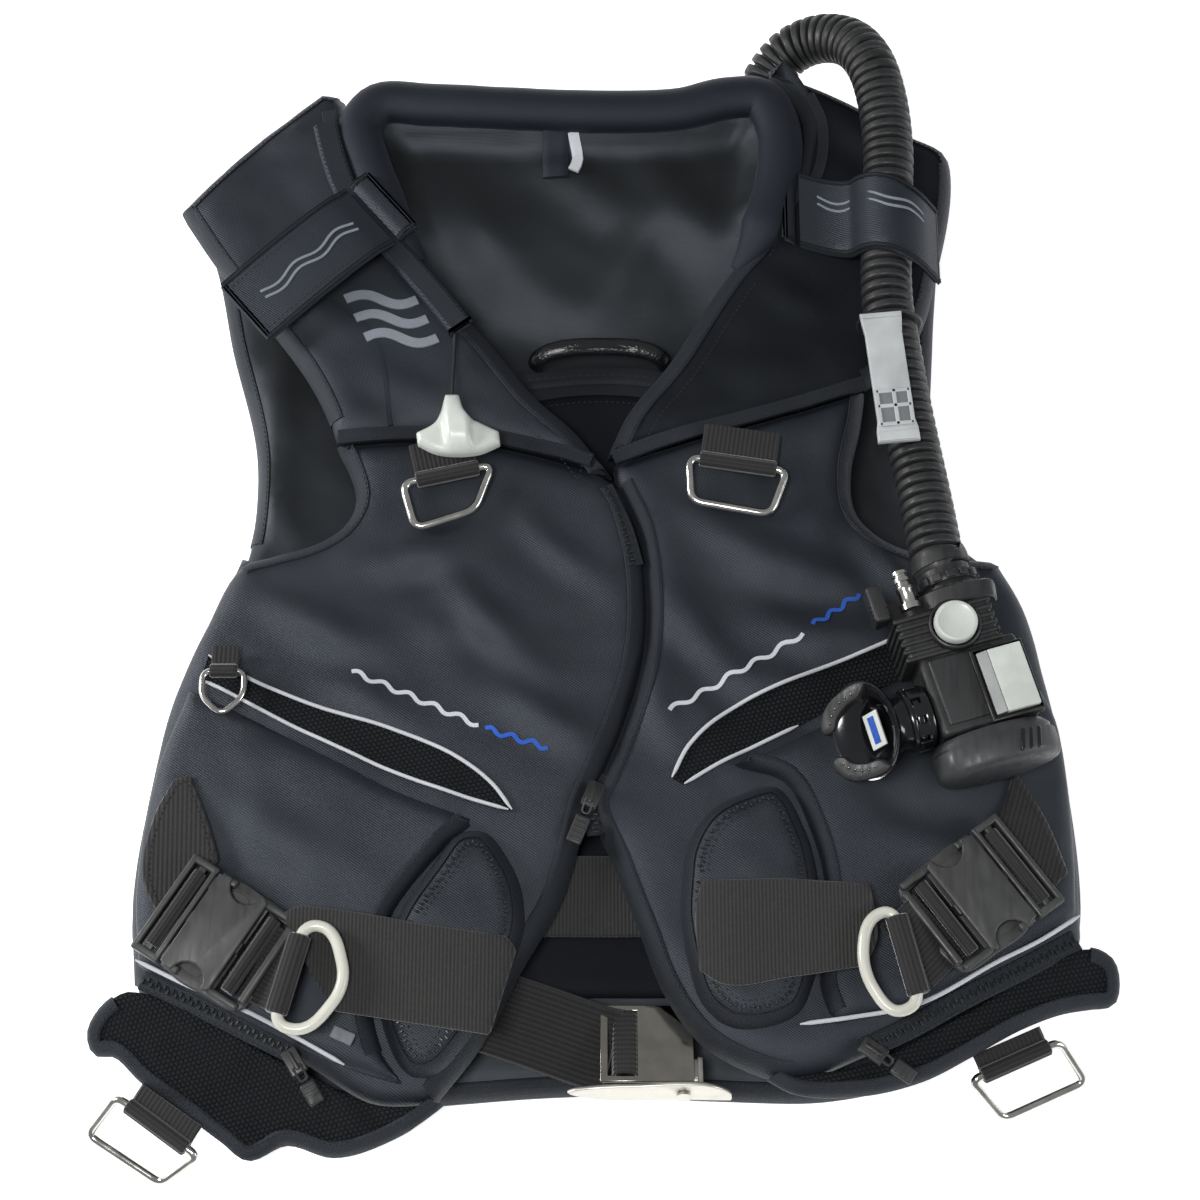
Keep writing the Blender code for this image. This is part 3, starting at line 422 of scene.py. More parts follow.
def turned(profile, centre, axis="Z", sides=40, squeeze=(1.0, 1.0)):
    """A profile of (radius, height) points turned about an axis. squeeze scales the two radii."""
    bm = bmesh.new()
    rows = []
    for radius, height in profile:
        if radius < 1e-6:
            rows.append([bm.verts.new((0, 0, height))])
            continue
        angles = [2 * math.pi * k / sides for k in range(sides)]
        rows.append([
            bm.verts.new((radius * squeeze[0] * math.cos(a), radius * squeeze[1] * math.sin(a), height))
            for a in angles
        ])
    for low, high in zip(rows, rows[1:]):
        for k in range(sides):
            after = k + 1
            ring = (low[k % len(low)], low[after % len(low)], high[after % len(high)], high[k % len(high)])
            ring = list(dict.fromkeys(ring))
            if len(ring) > 2:
                bm.faces.new(ring)
    for row in (rows[0], rows[-1]):
        if len(row) > 1:
            bm.faces.new(row)
    turns = {"X": Matrix.Rotation(math.pi / 2, 4, "Y"), "Y": Matrix.Rotation(-math.pi / 2, 4, "X"),
             "Z": Matrix.Identity(4)}
    bm.transform(Matrix.Translation(Vector(centre)) @ turns[axis])
    return bm


def drum(radius, depth, centre, axis="Z", sides=40, bevel=0.8):
    half = depth / 2
    profile = [(0, -half), (radius - bevel, -half), (radius - bevel * 0.3, -half + bevel * 0.3),
               (radius, -half + bevel), (radius, half - bevel), (radius - bevel * 0.3, half - bevel * 0.3),
               (radius - bevel, half), (0, half)]
    return turned(profile, centre, axis, sides)


def plate(loops, thick, centre_z, bevel=0.6):
    """A flat part with rounded edges: the first loop is its outline and the others are holes."""
    data = bpy.data.curves.new("plate", "CURVE")
    data.dimensions = "2D"
    data.fill_mode = "BOTH"
    data.extrude = thick / 2 - bevel
    data.bevel_depth = bevel
    data.bevel_resolution = 2
    data.offset = -bevel
    for loop in loops:
        spline = data.splines.new("POLY")
        spline.points.add(len(loop) - 1)
        for target, point in zip(spline.points, loop):
            target.co = (point[0], point[1], 0.0, 1.0)
        spline.use_cyclic_u = True
    obj = bpy.data.objects.new("plate", data)
    SCENE.collection.objects.link(obj)
    graph = bpy.context.evaluated_depsgraph_get()
    made = bpy.data.meshes.new_from_object(obj.evaluated_get(graph))
    bm = bmesh.new()
    bm.from_mesh(made)
    bmesh.ops.remove_doubles(bm, verts=bm.verts, dist=0.01)
    bm.transform(Matrix.Translation((0, 0, centre_z)))
    bpy.data.objects.remove(obj)
    bpy.data.curves.remove(data)
    bpy.data.meshes.remove(made)
    return bm


def smooth_line(points, spacing, closed=False, corner=50.0):
    """Evenly spaced points on a curve through the given ones, which stays sharp at sharp corners."""
    points = [Vector(p) for p in points]
    count = len(points)
    spans = count if closed else count - 1
    tangents = []
    for index, here in enumerate(points):
        if closed or 0 < index < count - 1:
            before = here - points[index - 1]
            after = points[(index + 1) % count] - here
            bend = math.degrees(before.angle(after)) if before.length and after.length else 0.0
            direction = (before.normalized() + after.normalized()) / 2
            tangents.append(direction if bend < corner else None)
        else:
            tangents.append(None)
    dense = []
    for index in range(spans):
        start, stop = points[index], points[(index + 1) % count]
        chord = stop - start
        steps = max(2, int(chord.length / (spacing * 0.5)))
        out = tangents[index] * chord.length if tangents[index] is not None else chord
        into = tangents[(index + 1) % count]
        into = into * chord.length if into is not None else chord
        for step in range(steps):
            t = step / steps
            dense.append(
                start * (2 * t**3 - 3 * t**2 + 1) + out * (t**3 - 2 * t**2 + t)
                + stop * (3 * t**2 - 2 * t**3) + into * (t**3 - t**2)
            )
    dense.append(dense[0] if closed else points[-1])
    return even_line(dense, spacing, closed)


def travelled(line):
    """The distance along the line to each of its points."""
    return np.concatenate([[0.0], np.cumsum(np.linalg.norm(np.diff(line, axis=0), axis=1))])


def resized(line, count):
    """That many points, spaced evenly along the line."""
    along = travelled(line)
    targets = np.linspace(0.0, along[-1], count)
    return np.stack([np.interp(targets, along, line[:, axis]) for axis in range(line.shape[1])], axis=1)


def even_line(points, spacing, closed=False):
    """The line's points respaced evenly."""
    line = np.array([tuple(p) for p in points], float)
    count = max(2, int(round(travelled(line)[-1] / spacing)))
    even = resized(line, count + 1)
    return even[:-1] if closed else even


def signed_area(loop):
    """The area in plan, positive where the loop runs anticlockwise."""
    ahead = np.roll(loop, -1, axis=0)
    return 0.5 * float(np.sum(loop[:, 0] * ahead[:, 1] - loop[:, 1] * ahead[:, 0]))


def sides_of(line, closed=False):
    """Unit vectors in plan to the left of the line's direction, at each point."""
    line = np.array(line, float)[:, :2]
    if closed:
        ahead = np.roll(line, -1, axis=0) - np.roll(line, 1, axis=0)
    else:
        ahead = np.gradient(line, axis=0)
    ahead /= np.maximum(np.linalg.norm(ahead, axis=1, keepdims=True), 1e-9)
    return np.stack([-ahead[:, 1], ahead[:, 0]], axis=1)


def sweep(points, profile, closed=False, up=(0.0, 0.0, 1.0), scale=None):
    """A closed profile of (side, up) offsets carried along a line, with a UV map in metres named band."""
    points = [Vector(p) for p in points]
    count = len(points)
    bm = bmesh.new()
    layer = bm.loops.layers.uv.new("band")
    along = [0.0]
    for first, second in zip(points, points[1:]):
        along.append(along[-1] + (second - first).length)
    around = [0.0]
    for k in range(len(profile)):
        a, b = Vector(profile[k]), Vector(profile[(k + 1) % len(profile)])
        around.append(around[-1] + (b - a).length)
    rows = []
    normal = Vector(up)
    for index, here in enumerate(points):
        before = points[index - 1] if index or closed else here
        after = points[(index + 1) % count] if index < count - 1 or closed else here
        ahead = (after - before).normalized()
        normal = (normal - ahead * normal.dot(ahead)).normalized()
        side = ahead.cross(normal)
        factor = 1.0 if scale is None else scale[index]
        rows.append([bm.verts.new(here + (side * u + normal * v) * factor) for u, v in profile])
        if closed:
            normal = Vector(up)
    size = len(profile)
    for index in range(count if closed else count - 1):
        first, second = rows[index], rows[(index + 1) % count]
        for k in range(size):
            face = bm.faces.new((first[k], first[(k + 1) % size], second[(k + 1) % size], second[k]))
            ahead = along[index] + (points[(index + 1) % count] - points[index]).length
            spots = ((along[index], around[k]), (along[index], around[k + 1]), (ahead, around[k + 1]),
                     (ahead, around[k]))
            for loop, (u, v) in zip(face.loops, spots):
                loop[layer].uv = (u * MM, v * MM)
    if not closed:
        bm.faces.new(list(reversed(rows[0])))
        bm.faces.new(rows[-1])
    return bm


def round_profile(width, height, steps=20):
    angles = [2 * math.pi * k / steps for k in range(steps)]
    return [(width * math.cos(a), height * math.sin(a)) for a in angles]


def flat_profile(width, thick, corner=None):
    """A rounded rectangle, for webbing and tape."""
    corner = thick * 0.45 if corner is None else corner
    x, y = width / 2, thick / 2
    middle = [(x, -y + corner), (x, y - corner), (x - corner, y)]
    rest = [(-x + corner, y), (-x, y - corner), (-x, -y + corner), (-x + corner, -y)]
    across = [(x * (1 - 2 * k / 6), y) for k in range(1, 6)]
    under = [(-x * (1 - 2 * k / 6), -y) for k in range(1, 6)]
    return middle + across + rest + under + [(x - corner, -y)]


def ribbon(name, points, width, thick, finish, spacing=5.0, **options):
    bm = sweep(smooth_line(points, spacing), flat_profile(width, thick))
    return finish_mesh(name, bm, finish, **options)


# --- the lie of the cloth -------------------------------------------------------------------------

# Soft folds in the front: start, end, half width and height.
FOLDS = [
    ((-150, 22), (-66, 44), 9, 2.6), ((-205, 6), (-110, -34), 11, 3.0), ((-96, 30), (-24, -52), 10, 2.8),
    ((-52, 62), (10, 8), 8, 2.2), ((-176, -28), (-84, -84), 12, 2.4), ((-130, -10), (-40, -10), 14, 1.8),
    ((-66, -40), (4, -92), 10, 2.4), ((-225, -60), (-160, -64), 9, 1.6),
    ((56, 36), (166, 14), 11, 3.2), ((84, -14), (188, -22), 12, 2.8), ((40, 66), (120, 26), 9, 2.2),
    ((150, 62), (206, -16), 10, 2.6), ((34, 20), (92, -56), 10, 2.4), ((60, -44), (150, -50), 12, 1.8),
    ((206, 16), (238, -34), 9, 2.2), ((32, -30), (44, -96), 8, 1.8),
    ((-150, 160), (-70, 120), 11, 1.6), ((-196, 220), (-150, 170), 10, 1.8),
    ((-215, 300), (-186, 330), 9, 1.4),
    ((60, 150), (150, 160), 12, 1.6), ((96, 214), (150, 190), 10, 1.6), ((150, 330), (200, 296), 10, 1.6),
    ((-210, -120), (-150, -160), 14, 2.4), ((-244, -110), (-200, -190), 10, 1.8),
    ((150, -90), (236, -120), 14, 2.2), ((160, -140), (250, -160), 12, 1.8),
    ((196, -60), (250, -80), 9, 1.6),
]
BACK_FOLDS = [
    ((-110, 300), (-30, 210), 16, 3.0), ((-60, 318), (60, 250), 14, 2.6), ((20, 310), (96, 230), 16, 3.0),
    ((-90, 220), (40, 200), 18, 2.4), ((60, 300), (-10, 180), 12, 1.8), ((-196, 190), (-190, 60), 12, 2.6),
    ((-212, 120), (-180, 40), 9, 2.0), ((180, 150), (196, 60), 10, 2.0), ((-120, 260), (-100, 180), 12, 2.0),
]


# How a fold lies: it bows sideways, and a shallow valley runs along one side of its ridge.
FOLD_BOW = 5.0
RIDGE_GAIN = 1.5
VALLEY_GAIN = 0.75
VALLEY_SHIFT = 1.7


def relief(folds, x, y):
    """Height of the folds at each point: ridges that fade at both ends."""
    total = np.zeros_like(x)
    for (x0, y0), (x1, y1), half_width, height in folds:
        dx, dy = x1 - x0, y1 - y0
        t = ((x - x0) * dx + (y - y0) * dy) / (dx * dx + dy * dy)
        bow = FOLD_BOW * np.sin(np.clip(t, 0, 1) * math.pi)
        across = ((x - x0) * dy - (y - y0) * dx) / math.hypot(dx, dy) - bow
        fade = np.clip(1 - np.abs(2 * t - 1), -0.3, 1)
        fade = np.clip(fade + 0.3, 0, 1.3) / 1.3
        fade = fade * fade * (3 - 2 * fade)
        total += RIDGE_GAIN * height * fade * np.exp(-((across / half_width) ** 2))
        total -= VALLEY_GAIN * height * fade * np.exp(-(((across / half_width) - VALLEY_SHIFT) ** 2))
    return total


def rumple(x, y, size, height, seed=0.0):
    """Small uneven waves in the cloth."""
    return np.array([height * noise.noise(Vector((a / size, b / size, seed))) for a, b in zip(x, y)])


def smooth_step(value):
    value = np.clip(value, 0.0, 1.0)
    return value * value * (3 - 2 * value)


def front_base(x, y):
    roll = np.maximum(0.0, (np.abs(x) - 120.0) / 150.0) ** 2
    hem = np.maximum(0.0, (-200.0 - y) / 100.0) ** 2
    return LOBE_TOP - SIDE_DROP * roll - HEM_DROP * hem


def front(x, y):
    waves = rumple(x, y, 46.0, 2.4) + rumple(x, y, 17.0, 0.8, 3.0)
    return front_base(x, y) - 1.6 + relief(FOLDS, x, y) + waves


def raised(surface, amount):
    return lambda x, y: surface(x, y) + amount


def lifted(amount):
    return raised(front, amount)


def level(height):
    return lambda x, y: np.full_like(np.asarray(x, float), height)


def distance_to(points, loop, closed=True):
    """Least distance in plan from each point to a line."""
    start = np.array(loop, float)[:, :2]
    stop = np.roll(start, -1, axis=0) if closed else start[1:]
    start = start if closed else start[:-1]
    best = np.full(len(points), 1e9)
    for a, b in zip(start, stop):
        span = b - a
        t = np.clip(((points - a) @ span) / max(span @ span, 1e-9), 0, 1)
        best = np.minimum(best, np.linalg.norm(points - (a + t[:, None] * span), axis=1))
    return best


def inside(points, loop):
    x, y = points[:, 0], points[:, 1]
    found = np.zeros(len(points), bool)
    loop = np.array(loop, float)
    for (x0, y0), (x1, y1) in zip(loop, np.roll(loop, -1, axis=0)):
        crosses = (y0 > y) != (y1 > y)
        if y1 != y0:
            found ^= crosses & (x < (x1 - x0) * (y - y0) / (y1 - y0) + x0)
    return found


class Panel:
    """A sewn, padded panel over a plan outline: its top falls away round the edge."""

    def __init__(self, outline, top, low, fall=(10.0, 8.0), cell=6.5, corner=50.0):
        self.edge = smooth_line([(x, y) for x, y in outline], cell * 0.9, True, corner)
        if signed_area(self.edge) < 0:
            self.edge = self.edge[::-1].copy()
        self.inward = sides_of(self.edge, True)
        self.top, self.low, self.fall, self.cell = top, low, fall, cell

    def height(self, x, y, distance):
        wide, deep = self.fall
        share = 1 - np.clip(distance / wide, 0, 1)
        return self.top(x, y) - deep * (1 - np.sqrt(np.maximum(0.0, 1 - share**2)))

    def fill(self):
        """Points over the outline, in triangles: rings near the edge and a lattice inside them."""
        cell = self.cell
        low, high = self.edge.min(0), self.edge.max(0)
        rows = np.arange(low[1], high[1], cell * 0.87)
        lattice = np.array([(x + (row % 2) * cell / 2, y) for row, y in enumerate(rows)
                            for x in np.arange(low[0], high[0], cell)])
        lattice = lattice[inside(lattice, self.edge)]
        lattice = lattice[distance_to(lattice, self.edge) > min(self.fall[0], 9.0) + cell * 0.35]
        points = [self.edge, lattice]
        for inset in (0.9, 2.6, 5.2, 8.6):
            if inset > self.fall[0]:
                break
            ring = self.edge + self.inward * inset
            ring = ring[inside(ring, self.edge)]
            points.append(ring[distance_to(ring, self.edge) > inset * 0.9])
        flat = np.concatenate(points)
        count = len(self.edge)
        edges = [(k, (k + 1) % count) for k in range(count)]
        verts, _, faces, _, _, _ = geometry.delaunay_2d_cdt([Vector(p) for p in flat], edges, [], 1, 1e-4)
        return np.array([tuple(v) for v in verts]), faces

    def mesh(self):
        flat, faces = self.fill()
        distance = distance_to(flat, self.edge)
        x, y = flat[:, 0], flat[:, 1]
        top = self.height(x, y, distance)
        low = np.minimum(self.low(x, y), top - 0.6)
        bm = bmesh.new()
        upper = [bm.verts.new((a, b, c)) for a, b, c in zip(x, y, top)]
        lower = [bm.verts.new((a, b, c)) for a, b, c in zip(x, y, low)]
        sides = set()
        for face in faces:
            bm.faces.new([upper[k] for k in face])
            bm.faces.new([lower[k] for k in reversed(face)])
            sides.update(zip(face, face[1:] + face[:1]))
        for a, b in sorted(sides):
            if (b, a) not in sides:
                bm.faces.new((upper[a], lower[a], lower[b], upper[b]))
        return bm

    def stretch(self, start, stop):
        """Indices of the edge from the point nearest start to the one nearest stop, anticlockwise."""
        first = int(np.argmin(np.linalg.norm(self.edge - np.array(start), axis=1)))
        last = int(np.argmin(np.linalg.norm(self.edge - np.array(stop), axis=1)))
        count = len(self.edge)
        if first == last:
            return [k % count for k in range(first, first + count)]
        return [k % count for k in range(first, last + (count if last < first else 0) + 1)]

    def follow(self, picked, inset, lift):
        """Points over the panel, inset from the stretch of its edge."""
        spots = self.edge[picked] + self.inward[picked] * inset
        z = self.height(spots[:, 0], spots[:, 1], np.full(len(spots), inset)) + lift
        return np.column_stack([spots, z])


def panel_piece(name, panel, finish, replaces):
    obj = finish_mesh(name, panel.mesh(), finish, replaces=replaces, sharp=60)
    return obj


def strip(rows, closed=False):
    """A closed skin through rows of points of equal length: each row is one trip round the profile."""
    bm = bmesh.new()
    layer = bm.loops.layers.uv.new("band")
    made = [[bm.verts.new(p) for p in row] for row in rows]
    size = len(rows[0])
    along = 0.0
    count = len(made)
    for index in range(count if closed else count - 1):
        first, second = made[index], made[(index + 1) % count]
        step = (second[0].co - first[0].co).length
        for k in range(size):
            face = bm.faces.new((first[k], first[(k + 1) % size], second[(k + 1) % size], second[k]))
            for loop, (u, v) in zip(face.loops, ((0, k), (0, k + 1), (step, k + 1), (step, k))):
                loop[layer].uv = ((along + u) * MM, v * 2.0 * MM)
        along += step
    if not closed:
        bm.faces.new(list(reversed(made[0])))
        bm.faces.new(made[-1])
    return bm


STITCHES = []
STITCH_PITCH = 3.4
STITCH_LONG = 2.3
STITCH_WIDE = 0.42


def stitch(line, pitch=STITCH_PITCH, long=STITCH_LONG, wide=STITCH_WIDE):
    """A run of stitches along a line: they are all joined into one piece at the end."""
    for point, ahead in zip(*steps_along(line, pitch)):
        side = Vector((-ahead.y, ahead.x, 0.0)).normalized() * wide
        rise = Vector((0, 0, wide * 1.1))
        half = ahead * long / 2
        STITCHES.append((point - half, point + half, side, rise))


def steps_along(line, pitch):
    """Points every pitch along the line, and the unit direction at each."""
    even = [Vector(p) for p in even_line(line, pitch)]
    middles = [(a + b) / 2 for a, b in zip(even, even[1:])]
    aheads = [(b - a).normalized() for a, b in zip(even, even[1:])]
    return middles, aheads


def add_stitch(bm, start, stop, side, rise):
    """One stitch: a spindle between two points."""
    middle = (start + stop) / 2
    tips = [bm.verts.new(start), bm.verts.new(stop)]
    belt = [bm.verts.new(middle + offset) for offset in (side, rise, -side, -rise)]
    for k in range(4):
        bm.faces.new((tips[0], belt[k], belt[(k + 1) % 4]))
        bm.faces.new((tips[1], belt[(k + 1) % 4], belt[k]))


def sew_stitches():
    bm = bmesh.new()
    for stitches in STITCHES:
        add_stitch(bm, *stitches)
    finish_mesh("stitching", bm, "thread", sharp=80)


def bind(name, panel, start, stop, wide=9.0, closed=False, sew=True):
    """Tape folded over a stretch of a panel's edge, with a row of stitches near its inner side."""
    picked = panel.stretch(start, stop)
    lanes = [panel.follow(picked, -0.9, -4.0), panel.follow(picked, -1.1, 0.2)]
    lanes += [panel.follow(picked, wide * share, 1.0) for share in (0.1, 0.35, 0.65, 0.93)]
    lanes += [panel.follow(picked, wide, 0.2), panel.follow(picked, wide * 0.9, -0.8)]
    lanes += [panel.follow(picked, 0.8, -1.6)]
    finish_mesh(name, strip(list(zip(*lanes)), closed), "binding", sharp=70)
    if sew:
        stitch(panel.follow(picked, wide * 0.78, 1.35))


def tape(name, line, wide, surface, lift=0.9, finish="binding", sew=(0.8,), spacing=5.0):
    """A flat tape sewn down over a surface along a plan line."""
    line = smooth_line(line, spacing)
    side = sides_of(line)
    lanes = []
    for share, rise in ((-1.0, 0.0), (-0.93, 1.0), (-0.4, 1.0), (0.4, 1.0), (0.93, 1.0), (1.0, 0.0)):
        spots = line + side * wide / 2 * share
        lanes.append(np.column_stack([spots, surface(spots[:, 0], spots[:, 1]) + lift * rise]))
    lanes += [lanes[-1] - (0, 0, 1.2), lanes[0] - (0, 0, 1.2)]
    finish_mesh(name, strip(list(zip(*lanes))), finish, sharp=70)
    for share in sew:
        for sign in (-1, 1):
            spots = line + side * wide / 2 * share * sign
            stitch(np.column_stack([spots, surface(spots[:, 0], spots[:, 1]) + lift + 0.3]))


def piping(name, line, surface, radius=1.05):
    """A round cord along a plan line, pointed at its ends."""
    line = smooth_line(line, 3.0)
    path = np.column_stack([line, surface(line[:, 0], line[:, 1]) + 0.8])
    sizes = [min(1.0, 0.35 + 0.35 * min(k, len(path) - 1 - k)) for k in range(len(path))]
    finish_mesh(name, sweep(path, round_profile(radius * 1.15, radius, 10), scale=sizes), "silver")


def between(name, first, second, surface, lift, finish):
    """A thin skin that fills the space between two plan lines."""
    rows = 14
    count = max(len(smooth_line(first, 5.0)), 12)
    a = resized(smooth_line(first, 2.0), count)
    b = resized(smooth_line(second, 2.0), count)
    bm = bmesh.new()
    grids = []
    for drop in (0.0, -1.0):
        grid = []
        for index in range(count):
            spots = a[index] + (b[index] - a[index]) * np.linspace(0, 1, rows + 1)[:, None]
            z = surface(spots[:, 0], spots[:, 1]) + lift + drop
            grid.append([bm.verts.new((*spot, height)) for spot, height in zip(spots, z)])
        grids.append(grid)
    for i in range(count - 1):
        for j in range(rows):
            for grid in grids:
                bm.faces.new((grid[i][j], grid[i + 1][j], grid[i + 1][j + 1], grid[i][j + 1]))
    rim = [(0, j) for j in range(rows)] + [(i, rows) for i in range(count - 1)]
    rim += [(count - 1, rows - j) for j in range(rows)] + [(count - 1 - i, 0) for i in range(count - 1)]
    upper, lower = grids
    for (i, j), (k, m) in zip(rim, rim[1:] + rim[:1]):
        bm.faces.new((upper[i][j], upper[k][m], lower[k][m], lower[i][j]))
    finish_mesh(name, bm, finish, sharp=70)


def zip_teeth(name, run, pitch, size, offset):
    """Two staggered rows of moulded teeth along a line of points."""
    teeth = []
    for index, (spot, ahead) in enumerate(zip(*steps_along(run, pitch))):
        side = Vector((-ahead.y, ahead.x, 0.0)).normalized()
        across = Matrix((ahead, side, ahead.cross(side))).transposed().to_4x4()
        tooth = box(size, (0, offset if index % 2 else -offset, 0), 0.3, 1)
        tooth.transform(Matrix.Translation(spot) @ across)
        teeth.append(tooth)
    finish_mesh(name, joined(teeth), "black")


def zip_run(name, line, surface, lift, wide):
    """A zip: its tape and two rows of moulded teeth."""
    tape(f"{name}_tape", line, wide, surface, 0.5, "binding", sew=(0.82,))
    path = smooth_line(line, 2.0)
    run = np.column_stack([path, surface(path[:, 0], path[:, 1]) + lift])
    zip_teeth(f"{name}_teeth", run, 2.6, (1.4, 2.9, 1.5), 0.9)


# --- hose and pull cord ---------------------------------------------------------------------------

HOSE_ROUTE = [
    (103.0, 348.6, 20.0), (103.0, 353.0, 20.0), (103.0, 358.0, 20.0), (110.0, 374.0, 25.0),
    (124.0, 386.0, 35.0), (142.0, 387.0, 47.0), (159.0, 375.0, 61.0), (170.0, 352.0, 72.0),
    (176.0, 322.0, 75.5), (178.0, 288.0, 76.0), (176.0, 253.0, 76.0), (174.0, 218.0, 76.0),
    (173.5, 183.0, 76.5), (177.0, 149.0, 77.5), (181.0, 115.0, 78.5), (186.0, 80.0, 80.0),
    (190.5, 46.0, 84.0), (193.8, 16.4, 88.0), (195.2, 11.6, 88.0), (196.6, 6.7, 88.0),
]
CORD_ROUTE = [
    (-88.0, 188.0, 62.5), (-88.0, 170.0, 62.5), (-88.0, 157.0, 63.5), (-88.0, 144.0, 67.5),
    (-88.0, 133.0, 73.5), (-88.0, 122.4, 76.5),
]
CORD_RADIUS = 1.0
RIB_PITCH = 6.9
RIB_DEPTH = 3.5
RIB_STEPS = 9


def curve_through(points, spans):
    """The Catmull-Rom curve that the part's tubes follow."""
    ends = [points[0]] + list(points) + [points[-1]]
    found = []
    for index in range(1, len(ends) - 2):
        before, start, stop, after = (Vector(ends[index + k]) for k in (-1, 0, 1, 2))
        for step in range(spans):
            t = step / spans
            found.append(0.5 * (2 * start + (stop - before) * t
                                + (2 * before - 5 * start + 4 * stop - after) * t**2
                                + (3 * start - before - 3 * stop + after) * t**3))
    return found + [Vector(points[-1])]


def inflator_hose():
    """Corrugated: broad ribs with narrow grooves between them."""
    line = even_line(curve_through(HOSE_ROUTE, 10), RIB_PITCH / RIB_STEPS)
    grooves = [{0: 1.0, 1: 1.0, 2: 0.12, 8: 0.12}.get(index % RIB_STEPS, 0.0) for index in range(len(line))]
    scale = [1.0 - RIB_DEPTH / HOSE_RADIUS * groove for groove in grooves]
    bm = sweep(line, round_profile(HOSE_RADIUS, HOSE_RADIUS, 36), scale=scale)
    hose = finish_mesh("corrugated_hose", bm, "rubber", replaces=["inflator_hose"], sharp=50)


def dump_cord(knob):
    line = even_line(curve_through(CORD_ROUTE, 6), 2.4)
    bm = sweep(line, round_profile(CORD_RADIUS, CORD_RADIUS, 12))
    cord = finish_mesh("pull_cord", bm, "rubber", body="dump_pull", replaces=["dump_cord"])


def dump_knob():
    """A winged pull knob: thin wings and a raised middle."""
    outline = [(-92, 122), (-84, 122), (-80, 111), (-70, 105), (-60, 100), (-59, 92), (-71, 86.5),
               (-84, 85), (-97, 86.5), (-108, 92), (-109, 99), (-98, 106), (-95, 112)]

    def top(x, y):
        ridge = 1 - smooth_step((np.abs(x + 84 + (y - 100) * 0.12) - 5.0) / 5.0)
        return 77.8 + 5.6 * ridge * smooth_step((y - 84) / 14) - 1.5 * smooth_step((y - 110) / 12)

    panel = Panel(outline, top, level(70.4), (4.5, 3.6), 1.5)
    return finish_mesh("pull_knob", panel.mesh(), "pale", body="dump_pull", replaces=["dump_knob"], sharp=60)


# --- back and inside ------------------------------------------------------------------------------

BACK_OUTLINE = [
    (-160, 334), (-210, 304), (-256, 262), (-244, 244), (-229, 182), (-211, 112), (-210, 70), (-216, 35),
    (-236, -20), (-253, -66), (-260, -110), (-268, -190), (-262, -228), (-209, -288), (-150, -289),
    (0, -280), (68, -283), (130, -283), (190, -268), (226, -246), (262, -222), (276, -178), (272, -100),
    (264, -50),
    (254, -4), (240, 30), (214, 56), (204, 110), (208, 190), (212, 250), (214, 296), (186, 314), (142, 334),
    (84, 342), (40, 339), (-60, 339), (-126, 340),
]
PLATE_OUTLINE = [
    (-70, -215), (70, -215), (92, -190), (96, -60), (88, 60), (70, 150), (52, 172), (-52, 172), (-70, 150),
    (-88, 60), (-96, -60), (-92, -190),
]
PLATE_THICK = 10.0
VALVE_AT = (-196.0, 246.0)


def back_top(x, y):
    rise = smooth_step((y - 180.0) / 90.0)
    folds = relief(BACK_FOLDS, x, y) + rumple(x, y, 40.0, 1.3, 5.0) + rumple(x, y, 15.0, 0.5, 7.0)
    calm = 1 - smooth_step((np.abs(y + 40) - 150) / -30) * smooth_step((110 - np.abs(x)) / 20)
    reach = distance_to(np.column_stack([x, y]), COLLAR_ROUTE, False)
    brim = 15.0 * (1 - smooth_step((reach - 4.0) / 24.0)) * smooth_step((y - 236.0) / 30.0)
    return BACK_TOP + (COLLAR_BACK_TOP - BACK_TOP) * rise - 1.2 + folds * calm + brim


def back_low(x, y):
    """The underside keeps clear of the tank plate and the dump valve, and is quilted round them."""
    spots = np.column_stack([x, y])
    reach = distance_to(spots, PLATE_OUTLINE)
    reach[inside(spots, PLATE_OUTLINE)] = 0.0
    valve = np.maximum(0.0, np.hypot(x - VALVE_AT[0], y - VALVE_AT[1]) - 25.0)
    over = np.maximum(11.2 * (1 - smooth_step(reach / 10.0)), 12.8 * (1 - smooth_step(valve / 8.0)))
    waves = 1.4 + rumple(x, y, 34.0, 1.2, 11.0)
    return np.maximum(0.1, np.where(over > 0.5, over, np.maximum(waves, over)))


def back():
    panel = Panel(BACK_OUTLINE, back_top, back_low, (14.0, 11.0), 7.0)
    panel_piece("back_cell", panel, "liner", ["back_bladder"])
    bind("back_hem_tape", panel, (-262, -228), (276, -178), 9.0)
    bind("back_arm_tape_r", panel, (240, 30), (206, 250), 8.0)
    bind("back_arm_tape_l", panel, (-250, 252), (-214, 50), 8.0)


def tank_plate():
    """The moulded plate that carries the tank, with ribs and pads on its back."""
    shell = plate([smooth_line(PLATE_OUTLINE, 6.0, True, 40.0)], PLATE_THICK - 0.3, PLATE_THICK / 2, 2.0)
    ribs = [box((5.0, 330.0, 1.6), (x, -25.0, 0.9), 0.7) for x in (-52, -26, 26, 52)]
    pads = [plate([rectangle(x, y, 7, 20)], 2.2, 1.2, 0.7) for x in (-78, 78) for y in (-150, -70, 10)]
    finish_mesh("tank_plate", joined([shell] + ribs + pads), "black", replaces=["backpack_plate"])


def dump_valve():
    x, y = VALVE_AT
    parts = [drum(22.0, 10.6, (x, y, 6.0), bevel=2.0), drum(7.0, 2.4, (x, y, 1.3))]
    parts += ring_of_blocks((2.4, 9.0, 2.0), (0, 15.5, 0.9), 0.6, (x, y, 0), "Z", 12)
    finish_mesh("rear_dump_valve", joined(parts), "black", replaces=["dump_valve"])


